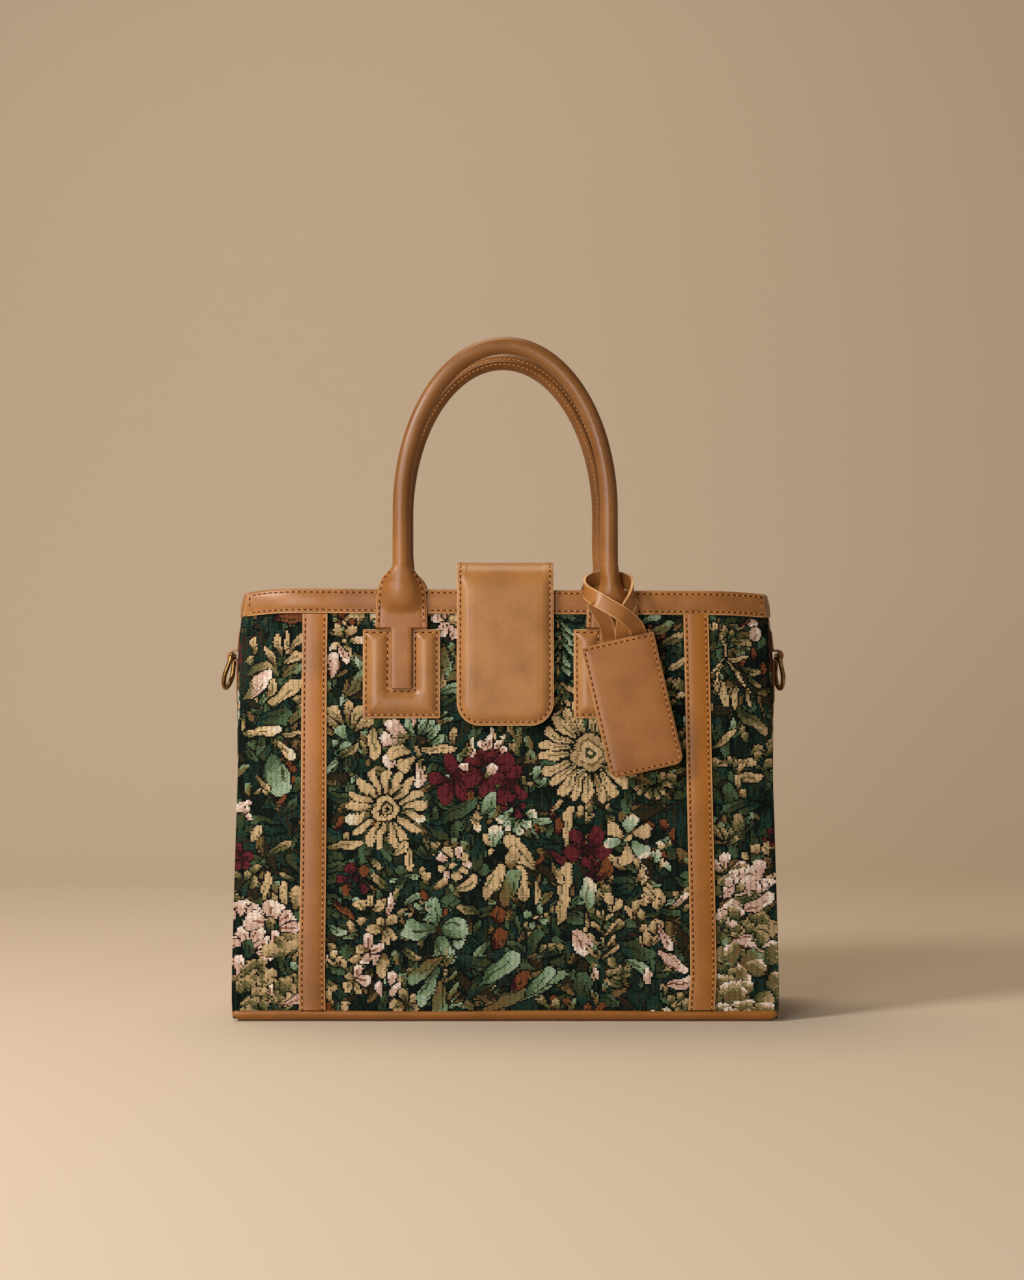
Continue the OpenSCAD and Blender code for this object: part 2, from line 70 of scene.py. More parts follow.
def add(tree, kind, feeds=(), **settings):
    """A shader node with its settings and feeds."""
    made = tree.nodes.new("ShaderNode" + kind)
    for key, value in settings.items():
        setattr(made, key, value)
    feed(tree, made, feeds)
    return made


def ramp(tree, value, *stops):
    """Colour of a value that runs through stops, each a position and a hex colour."""
    made = add(tree, "ValToRGB", {"Fac": value})
    for k, (position, code) in enumerate(stops):
        elements = made.color_ramp.elements
        stop = elements[k] if k < 2 else elements.new(position)
        stop.position, stop.color = position, linear(code)
    return made.outputs["Color"]


def material(name):
    """An empty material with a Principled shader, its tree and its object coordinates."""
    made = bpy.data.materials.new(name)
    made.use_nodes = True
    tree = made.node_tree
    return made, tree, tree.nodes["Principled BSDF"], add(tree, "TexCoord").outputs["Object"]


def leather(name, light, mid, dark):
    """Full-grain leather: cloudy dye over 45 mm, grain of 1 mm, painted shade darkening it towards the foot,
    and darker at the grips.
    """
    made, tree, shader, place = material(name)
    cloud = add(tree, "TexNoise", {"Vector": place, "Scale": 22, "Detail": 5, "Roughness": 0.6})
    dye = ramp(tree, cloud.outputs["Fac"], (0.28, dark), (0.74, light), (0.5, mid))
    height = add(tree, "SeparateXYZ", {"Vector": place}).outputs["Z"]
    # Painted shade: the colour is darkened below 0.22 m, towards the foot
    foot = add(tree, "MapRange", {"Value": height, "From Max": 0.22, "To Min": 0.84, "To Max": 1})
    # Darker above 0.32 m, at the grips
    grips = {"From Min": 0.32, "From Max": 0.37, "To Min": 1, "To Max": 0.66}
    hand = add(tree, "MapRange", {"Value": height, **grips})
    tone_factor = add(tree, "Math", {0: foot.outputs["Result"], 1: hand.outputs["Result"]}, operation="MULTIPLY")
    tone = add(tree, "HueSaturation", {"Color": dye, "Saturation": 1.02, "Value": tone_factor.outputs[0]})
    grain = add(tree, "TexVoronoi", {"Vector": place, "Scale": 950}, feature="SMOOTH_F1")
    pores = add(tree, "TexNoise", {"Vector": place, "Scale": 420, "Detail": 3})
    skin = add(tree, "Math", {0: grain.outputs["Distance"], 1: pores.outputs["Fac"]}, operation="ADD")
    bump = add(tree, "Bump", {"Height": skin.outputs[0], "Strength": 0.16, "Distance": 0.0004})
    shine = add(tree, "MapRange", {"Value": cloud.outputs["Fac"], "To Min": 0.32, "To Max": 0.46})
    feed(tree, shader, {"Base Color": tone.outputs["Color"], "Roughness": shine.outputs["Result"],
                        "Normal": bump.outputs["Normal"], "Specular IOR Level": 0.55})
    return made


def grid(rows, cols, wrap=False):
    """Quads between rows of points, closed round each row if wrap."""
    r, c = np.meshgrid(np.arange(rows - 1), np.arange(cols if wrap else cols - 1), indexing="ij")
    a, b = r * cols + c, r * cols + (c + 1) % cols
    return np.stack([a, b, b + cols, a + cols], -1).reshape(-1, 4).tolist()


def tube(rings, skin, closed=False):
    """Part of a piece: closed rings joined into a skin, with flat ends unless the row is closed."""
    rings = np.asarray(rings, float)
    count, points = rings.shape[:2]
    faces = grid(count, points, True)
    last = (count - 1) * points
    if closed:
        faces += [[last + k, last + (k + 1) % points, (k + 1) % points, k] for k in range(points)]
    else:
        faces += [list(range(points)), list(range(last, last + points))]
    return rings.reshape(-1, 3), faces, skin


def piece(name, parts, body, nodes=()):
    """One object from its parts, in mm, riding its body and standing for its CAD nodes."""
    points, faces, looks, skins = [], [], [], []
    total = 0
    for verts, quads, skin in parts:
        if skin not in skins:
            skins.append(skin)
        points.append(verts)
        faces += [[i + total for i in f] for f in quads]
        looks += [skins.index(skin)] * len(quads)
        total += len(verts)
    mesh = bpy.data.meshes.new(name)
    mesh.from_pydata((np.concatenate(points) * MM).tolist(), [], faces)
    mesh.polygons.foreach_set("material_index", looks)
    for skin in skins:
        mesh.materials.append(skin)
    shell = bmesh.new()
    shell.from_mesh(mesh)
    bmesh.ops.recalc_face_normals(shell, faces=shell.faces)
    shell.to_mesh(mesh)
    shell.free()
    mesh.polygons.foreach_set("use_smooth", [True] * len(mesh.polygons))
    mesh.set_sharp_from_angle(angle=math.radians(42))
    made = bpy.data.objects.new(name, mesh)
    bpy.context.collection.objects.link(made)
    if body:
        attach(made, body)
    if nodes:
        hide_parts(*nodes)
    return made


# Browner than the tan leather, and darker and warmer as painted shade, for the base and strips
brown_and_shade = leather("russet leather with painted shade", "#AC6E28", "#9C6223", "#87531B")


TRAY = np.array([380.2, 138.2])
TRAY_CORNER = 4


def distance_along(path):
    """How far along a path each of its points lies."""
    return np.concatenate([[0], np.cumsum(np.linalg.norm(np.diff(path, axis=0), axis=1))])


def round_corner_loop(w, d, r, z):
    """Points round a rounded rectangle, evenly spaced enough to carry small waves."""
    loop = []
    for sx, sy, first in ((1, 1, 0), (-1, 1, 90), (-1, -1, 180), (1, -1, 270)):
        for turn in np.linspace(first, first + 90, 7):
            a = math.radians(turn)
            loop.append([sx * (w / 2 - r) + r * math.cos(a), sy * (d / 2 - r) + r * math.sin(a)])
    loop = np.array(loop + loop[:1])
    along = distance_along(loop)
    even = np.union1d(np.linspace(0, along[-1], 220, endpoint=False), along[:-1])
    x, y = (np.interp(even, along, loop[:, k]) for k in (0, 1))
    return np.stack([x, y, np.full(len(x), z)], -1)


# Section of the tray: inset from its outline, height, and how much its edge waves
TRAY_SECTION = ((8, 0, 0), (5.5, 0.4, 0), (3, 1.3, 0.1), (1.1, 2.7, 0.2), (0.1, 4.4, 0.3), (0, 6.0, 0.35),
                (0.5, 7.1, 0.4), (1.1, 7.5, 0.4), (1.7, 7.1, 0.3), (1.9, 2.2, 0))
rows = []
for inset, level, wave in TRAY_SECTION:
    loop = round_corner_loop(*TRAY, TRAY_CORNER, level)
    ripple = np.sin(loop[:, 0] / 17) * np.sin(loop[:, 0] / 41 + 1.3) + 0.5 * np.sin(loop[:, 1] / 13)
    shrink = 1 - (inset + wave * ripple)[:, None] / (TRAY / 2)
    loop[:, :2] *= shrink
    loop[:, 2] += wave * 0.8 * np.sin(loop[:, 0] / 29 + 0.4) * (level > 1)
    rows.append(loop)
piece("base_tray", [tube(rows, brown_and_shade)], "bag", ["base_leather"])

# Tapestry panels
# Jacquard cloth woven in yarn colours on a dark green ground: daisies, peonies,
# blossoms, sprays and leaves. The front and back panels bend back at their sides
# and roll over the corner seams; the gussets between them swell a little at the top.

HALF_FLAT = 143.75  # the flat middle of a panel
HALF_CLOTH = 188  # the whole panel
PANEL_FOOT, PANEL_TALL, GUSSET_TALL = 2.1, 295.8, 292.8
RIM_HIGH, RIM_OUT = 297.9, 53  # the panel's upper edge
DRAWN_IN = 14  # how much nearer the rim is than the foot
SIDE_BEND = 13  # how far a panel's sides bend back at the rim


def half_w(up):
    """Half the bag's width at a share of its height."""
    return 190.2 - 6.4 * np.abs(up) ** 1.3 - 1.6 * np.exp(-np.abs(up) / 0.03)


def half_d(up):
    """Half the bag's depth at a share of its height."""
    return RIM_OUT + DRAWN_IN - DRAWN_IN * up


def panel(u, up, out=0.0, grow=0.0):
    """Front panel point in mm: u across the cloth from its middle, up its share of the height."""
    u, up, out, grow = np.broadcast_arrays(*(np.asarray(k, float) for k in (u, up, out, grow)))
    side = np.clip((np.abs(u) - HALF_FLAT) / (HALF_CLOTH - HALF_FLAT), 0, None)
    fold = half_w(up) - HALF_FLAT
    past = side * (fold + grow)
    x = np.where(side > 0, np.sign(u) * (HALF_FLAT + past), u)
    back = SIDE_BEND * up * (past / fold) ** 1.7
    sag = np.where(u < 0, 3, 1.8) * side**2
    tilt = up**4 * (0.15 - 1.15 * u / HALF_CLOTH)
    return np.stack([x, back - half_d(up) - out, PANEL_FOOT + up * (PANEL_TALL - sag) + tilt], -1)


def gusset(across, up, out=0.0, reach=None):
    """Right gusset point in mm: across from -1 at its front edge to 1 at its back edge."""
    across, up, out = np.broadcast_arrays(*(np.asarray(k, float) for k in (across, up, out)))
    reach = half_d(up) - SIDE_BEND * up - 2.9 if reach is None else reach
    swell = 6 * np.sin(np.radians(160 * np.clip(up, 0, 1) ** 3))
    x = half_w(up) + swell * (1 - across**4) + out
    tilt = up**4 * (0.75 + 0.55 * across)
    return np.stack([x, across * reach, PANEL_FOOT + up * GUSSET_TALL + tilt], -1)


def turned(points, half_turn):
    """The points, or the same points turned half round the upright axis."""
    return points * np.array([-1, -1, 1]) if half_turn else points


# Yarns of the cloth, from the ground to the brightest weft
YARN = {
    "ground": "#0A110E",
    "pine": "#13221B",
    "teal": "#1B342D",
    "umber": "#2C2518",
    "moss": "#363E27",
    "fern": "#455B42",
    "olive": "#645F3C",
    "sage": "#738A6C",
    "mint": "#93A891",
    "bark": "#6B5636",
    "sand": "#A38D68",
    "straw": "#BFA67F",
    "cream": "#D2C8B4",
    "blush": "#C0A294",
    "shell": "#DDCEC2",
    "wine": "#5A2328",
    "plum": "#34151A",
    "rust": "#6C4026",
}
CODE = {name: k for k, name in enumerate(YARN)}
# Each colourway: tones from a petal's base to its tip, then the colour of its veins
WAYS = {
    "straw": (("bark", "sand", "straw"), "olive"),
    "gold": (("sand", "straw", "straw"), "olive"),
    "cream": (("olive", "straw", "cream"), "bark"),
    "blush": (("olive", "blush", "shell"), "bark"),
    "pink": (("blush", "blush", "shell"), "rust"),
    "mint": (("fern", "sage", "mint"), "moss"),
    "pale": (("sage", "mint", "cream"), "olive"),
    "wine": (("plum", "wine", "wine"), "plum"),
    "rust": (("plum", "rust", "rust"), "umber"),
    "olive": (("moss", "olive", "sand"), "umber"),
    "sage": (("bark", "olive", "sage"), "moss"),
    "fern": (("teal", "moss", "fern"), "pine"),
    "green": (("pine", "teal", "moss"), "ground"),
    "drab": (("umber", "umber", "bark"), "pine"),
    "frill": (("moss", "olive", "bark", "olive", "sand", "shell"), "umber"),
}
DAISY_PETALS, ASTER_PETALS = 17, 22


def weave(us, vs, motifs, seed):
    """Yarn number of each cell of a cloth whose threads lie at us and vs, in mm."""
    rng = np.random.default_rng(seed)
    u, v = us[None], vs[:, None]
    steps = np.array([[0, 8, 2, 10], [12, 4, 14, 6], [3, 11, 1, 9], [15, 7, 13, 5]]) / 16
    order = steps[np.arange(len(vs))[:, None] % 4, np.arange(len(us))[None] % 4]
    order = 0.6 * order + 0.4 * rng.random(order.shape)
    p = rng.uniform(0, 6.3, 12)
    # Wobble of every outline, in mm, then which edge of a leaf is the light one
    fray = 0.7 * (order - 0.5)
    wob_x = 0.75 * np.sin(u / 3.1 + v / 7 + p[0]) + 0.6 * np.sin(v / 2.1 + u / 11 + p[1]) + fray
    wob_z = 0.75 * np.sin(v / 3.7 - u / 6 + p[2]) + 0.6 * np.sin(u / 2.3 - v / 13 + p[3]) + fray
    lean = np.sign(np.sin(u / 29 + p[8]) * np.sin(v / 33 + p[9]))
    # The ground: broad clouds with short streaks along the warp
    cloud = np.sin(u / 17 + p[4]) * np.sin(v / 23 + p[5])
    cloud = cloud + np.sin(u / 7 + v / 31 + p[6]) * np.sin(v / 11 + p[7])
    streak = rng.normal(0, 0.5, (len(vs) // 9 + 2, len(us))).repeat(9, 0)[: len(vs)]
    level = cloud + streak + (order - 0.5) * 1.2
    dim = [CODE[name] for name in ("ground", "pine", "teal")]
    ink = np.select([level < -0.5, level < 0.5, level < 1.2], dim, CODE["umber"])

    def petal(x, z, turn, long, wide, way, vein=True, blunt=4.0, gap=0.8):
        """One petal or leaf from its base along turn, with a dark gap round it."""
        tones, rib = WAYS[way]
        reach = long + wide / 2 + 3
        i0, i1 = np.searchsorted(us, [x - reach, x + reach])
        j0, j1 = np.searchsorted(vs, [z - reach, z + reach])
        if i1 <= i0 or j1 <= j0:
            return
        here = np.s_[j0:j1, i0:i1]
        dx, dz = us[None, i0:i1] - x + wob_x[here], vs[j0:j1, None] - z + wob_z[here]
        a = (dx * math.cos(turn) + dz * math.sin(turn)) / long
        b = (dz * math.cos(turn) - dx * math.sin(turn)) / (wide / 2)
        t = np.clip(a, 0, 1)
        form = t**0.6 * np.sqrt(1 - t**blunt) / (0.72 if blunt < 2.5 else 0.86)
        halo = (a > -gap / long) & (a < 1 + gap / long) & (np.abs(b) < form + 2 * gap / wide)
        ink[here] = np.where(halo, CODE["ground"], ink[here])
        codes = np.array([CODE[k] for k in tones])
        level = (0.8 * a + 0.22 * b * lean[here] + 0.1) * len(codes) + (order[here] - 0.5) * 0.9
        cells = codes[np.clip(level, 0, len(codes) - 1).astype(int)]
        if vein:
            lines = np.sin(b * 6 + x) > 0.9 if wide > 9 else np.abs(b) < 0.13
            cells = np.where(lines & (a < 0.7), CODE[rib], cells)
        ink[here] = np.where((a > 0) & (a < 1) & (np.abs(b) < form), cells, ink[here])

    def disc(x, z, r, tone):
        """A round spot of one yarn with a ragged edge."""
        near = np.hypot(u - x + wob_x, v - z + wob_z)
        ink[near < r * (0.9 + 0.2 * order)] = CODE[tone]

    def rings(x, z, r, *tones):
        """Spots inside each other: a share of r and a yarn for each."""
        for share, tone in tones:
            disc(x, z, r * share, tone)

    def fan(x, z, r, way, turn=1.57, spread=2.4, n=6, odd=None, wide=0.9, start=0.3, stray=1):
        """n petals spread about turn, a fifth of them in the odd way."""
        step = spread / (n - 1)
        for k in rng.permutation(n):
            way_k = odd if odd and rng.random() < 0.2 else way
            aim = turn - spread / 2 + step * k + rng.normal(0, 0.06 * stray)
            long = r * (1 - start) * rng.uniform(1 - 0.18 * stray, 1 + 0.06 * stray)
            broad = wide * 2 * r * 0.75 * math.sin(step / 2) * rng.uniform(0.92, 1.06)
            petal(x + start * r * math.cos(aim), z + start * r * math.sin(aim), aim, long, broad, way_k,
                  n != DAISY_PETALS, 5, 0.45 if n > 12 else 0.9)

    def daisy(x, z, r, way):
        """A ring of separate petals round a ringed eye."""
        fan(x, z, r, way, rng.uniform(0, 6), 5.91, DAISY_PETALS, "cream", 0.86, 0.34, 0.4)
        rings(x, z, r, (0.35, "ground"), (0.31, "straw"), (0.2, "umber"), (0.14, "sand"), (0.07, "ground"))

    def aster(x, z, r, way):
        """A close ring of narrow veined petals round a wide eye."""
        fan(x, z, r, way, rng.uniform(0, 6), 6.0, ASTER_PETALS, "straw", 0.98, 0.36, 0.3)
        rings(x, z, r, (0.38, "ground"), (0.35, "sand"), (0.26, "bark"), (0.22, "straw"), (0.12, "moss"),
              (0.05, "straw"))

    def lobes(x, z, r, way, n=6, odd=None, size=0.36):
        """A flower of n round lobes, every second one in the odd way."""
        spin = rng.uniform(0, 6)
        for k in range(n):
            aim = spin + math.tau * k / n + rng.normal(0, 0.1)
            lobe = r * size * rng.uniform(0.85, 1.12)
            base = 0.62 * r - lobe
            way_k = odd if odd and k % 2 else way
            petal(x + base * math.cos(aim), z + base * math.sin(aim), aim, 2 * lobe, 1.9 * lobe, way_k,
                  way_k == "wine", 2.6)
        disc(x, z, r * 0.13, "plum" if way == "wine" else "straw")

    def bloom(x, z, r, way, n=5, odd=None):
        """A flower of n wide petals, some of them in the odd way."""
        spin = rng.uniform(0, 6)
        for k in range(n):
            aim = spin + math.tau * k / n + rng.normal(0, 0.12)
            petal(x + 0.1 * r * math.cos(aim), z + 0.1 * r * math.sin(aim), aim, r * rng.uniform(0.75, 1),
                  r * rng.uniform(0.66, 0.85), odd if odd and rng.random() < 0.4 else way, True, 3.4, 1.1)
        disc(x, z, r * 0.12, "umber")

    def rose(x, z, r, way, odd="olive"):
        """A full flower of nine petals laid over each other towards its middle."""
        for k in range(9):
            aim, off = rng.uniform(0, 6.3), r * (0.55 - 0.05 * k)
            petal(x + off * math.cos(aim), z + off * math.sin(aim), rng.uniform(0.4, 2.7),
                  r * rng.uniform(0.45, 0.75), r * rng.uniform(0.55, 0.85), odd if k % 3 == 1 else way,
                  False, 4, 0.6)

    def scales(x0, x1, z0, z1, way):
        """A large flower head of rows of petals, staggered like scales, under an arch."""
        for row, z in enumerate(np.arange(z1, z0, -9.5)):
            for x in np.arange(x0 + 8 * (row % 2), x1, 15):
                if math.hypot((2 * x - x0 - x1) / (x1 - x0) / 1.25, (z - z0) / (z1 - z0)) < 1:
                    petal(x + rng.normal(0, 2.5), z - 9 + rng.normal(0, 2), 1.57 + rng.normal(0, 0.4),
                          rng.uniform(10, 16), rng.uniform(13, 21), "olive" if rng.random() < 0.3 else way,
                          False, 5, 0.5)

    def leaf(x, z, turn, long, way, wide=0.36):
        """A pointed leaf, wide being its width as a share of its length."""
        petal(x, z, turn, long, long * wide, way, True, 1.7, 1.0)

    def spray(x, z, turn, long, way, pairs=6):
        """A stem with pairs of leaflets."""
        for k in range(pairs):
            f = (k + 0.4) / pairs
            px, pz = x + f * long * math.cos(turn), z + f * long * math.sin(turn)
            petal(px, pz, turn, long / pairs, 1.6, "olive", False, 8, 0.5)
            for side in (-1, 1):
                aim = turn + side * rng.uniform(0.55, 0.85)
                petal(px + 1.2 * math.cos(aim), pz + 1.2 * math.sin(aim), aim, long * 0.36 * (1.2 - 0.6 * f),
                      long * rng.uniform(0.09, 0.12), way, False, 2.6, 0.6)

    def florets(x, z, way, n=4):
        """n small petals strewn about a place."""
        for _ in range(n):
            petal(x + rng.normal(0, 5), z + rng.normal(0, 5), rng.uniform(0.7, 2.5), rng.uniform(6, 12),
                  rng.uniform(5, 8), way, False, 3)

    low, high = np.array([us[0], vs[0]]), np.array([us[-1], vs[-1]])
    area = np.prod(high - low)
    # Filler leaves: cloth area for each in mm2, their colourways and lengths; florets go over them
    fillers = ((170, ("green", "fern", "fern", "drab"), (14, 32)),
               (380, ("olive", "fern", "drab", "sage", "mint"), (8, 20)))
    for share, ways, sizes in fillers:
        for _ in range(int(area / share)):
            x, z = rng.uniform(low, high)
            leaf(x, z, rng.uniform(0, 6.3), rng.uniform(*sizes), ways[rng.integers(len(ways))],
                 rng.uniform(0.3, 0.5))
    for _ in range(int(area / 800)):
        x, z = rng.uniform(low, high)
        florets(x, z, ("straw", "olive", "olive", "cream", "sage", "rust")[rng.integers(6)], 3)
    kinds = {"daisy": daisy, "aster": aster, "fan": fan, "lobes": lobes, "bloom": bloom, "rose": rose,
             "scales": scales, "leaf": leaf, "spray": spray, "florets": florets}
    for motif in motifs:
        kind, *where = motif if motif[0] in kinds else ("leaf", *motif)
        kinds[kind](*where)
    return ink


def scattered(seed, w, h):
    """Motifs strewn over a cloth that the photo doesn't show."""
    rng = np.random.default_rng(seed)
    kinds = [("daisy", "gold", 27), ("rose", "blush", 22), ("lobes", "wine", 20), ("rose", "cream", 20),
             ("bloom", "sage", 21), ("aster", "straw", 31), ("lobes", "pale", 15), ("bloom", "cream", 16),
             ("lobes", "straw", 12), ("rose", "olive", 20)]
    placed = []
    for _ in range(300):
        kind, way, r = kinds[len(placed) % len(kinds)]
        x, z = rng.uniform([-w / 2, 0], [w / 2, h])
        if all(math.hypot(x - p[1], z - p[2]) > r + p[3] for p in placed):
            placed.append((kind, x, z, r * rng.uniform(0.85, 1.1), way))
    return placed


def tapestry():
    """Jacquard cloth: each cell has its yarn's colour, ribbed by the weft every 1 mm."""
    made, tree, shader, place = material("floral tapestry")
    yarn = add(tree, "Attribute", attribute_name="yarn").outputs["Color"]
    fuzz = add(tree, "TexNoise", {"Vector": place, "Scale": 900, "Detail": 2})
    value = add(tree, "MapRange", {"Value": fuzz.outputs["Fac"], "To Min": 0.72, "To Max": 1.3})
    tone = add(tree, "HueSaturation", {"Color": yarn, "Value": value.outputs["Result"]})
    split = add(tree, "SeparateXYZ", {"Vector": place})
    ribs = add(tree, "Math", {0: split.outputs["Z"], 1: 2 * math.pi / MM}, operation="MULTIPLY")
    wale = add(tree, "Math", {0: ribs.outputs[0]}, operation="SINE")
    rough = add(tree, "Math", {0: wale.outputs[0], 1: fuzz.outputs["Fac"]}, operation="ADD")
    bump = add(tree, "Bump", {"Height": rough.outputs[0], "Strength": 0.35, "Distance": 0.0003})
    feed(tree, shader, {"Base Color": tone.outputs["Color"], "Normal": bump.outputs["Normal"],
                        "Roughness": 0.9, "Specular IOR Level": 0.1})
    return made


jacquard = tapestry()


def cloth(name, points, ink, seed, node):
    """A woven sheet: a grid of cells, each in the colour of its yarn."""
    rows, cols = points.shape[:2]
    made = piece(name, [(points.reshape(-1, 3), grid(rows, cols), jacquard)], "bag", [node])
    colours = np.array([linear(code) for code in YARN.values()])[ink]
    rng = np.random.default_rng(seed)
    warp = np.where(np.arange(ink.shape[1]) % 3 == 0, 0.8, 1.06)
    weft = np.where(np.arange(ink.shape[0]) % 2, 0.92, 1.05)
    colours[..., :3] *= (rng.uniform(0.84, 1.14, ink.shape) * (warp[None] * weft[:, None]))[..., None]
    table = np.repeat(colours.reshape(-1, 4), 4, axis=0)
    layer = made.data.color_attributes.new("yarn", "FLOAT_COLOR", "CORNER")
    layer.data.foreach_set("color", table.ravel())
    flat = made.data.uv_layers.new(name="OFBake")
    corners = np.array(grid(rows, cols)).ravel()
    spots = np.stack([(corners % cols) / (cols - 1), (corners // cols) / (rows - 1)], -1)
    flat.data.foreach_set("uv", (0.01 + 0.98 * spots).ravel())


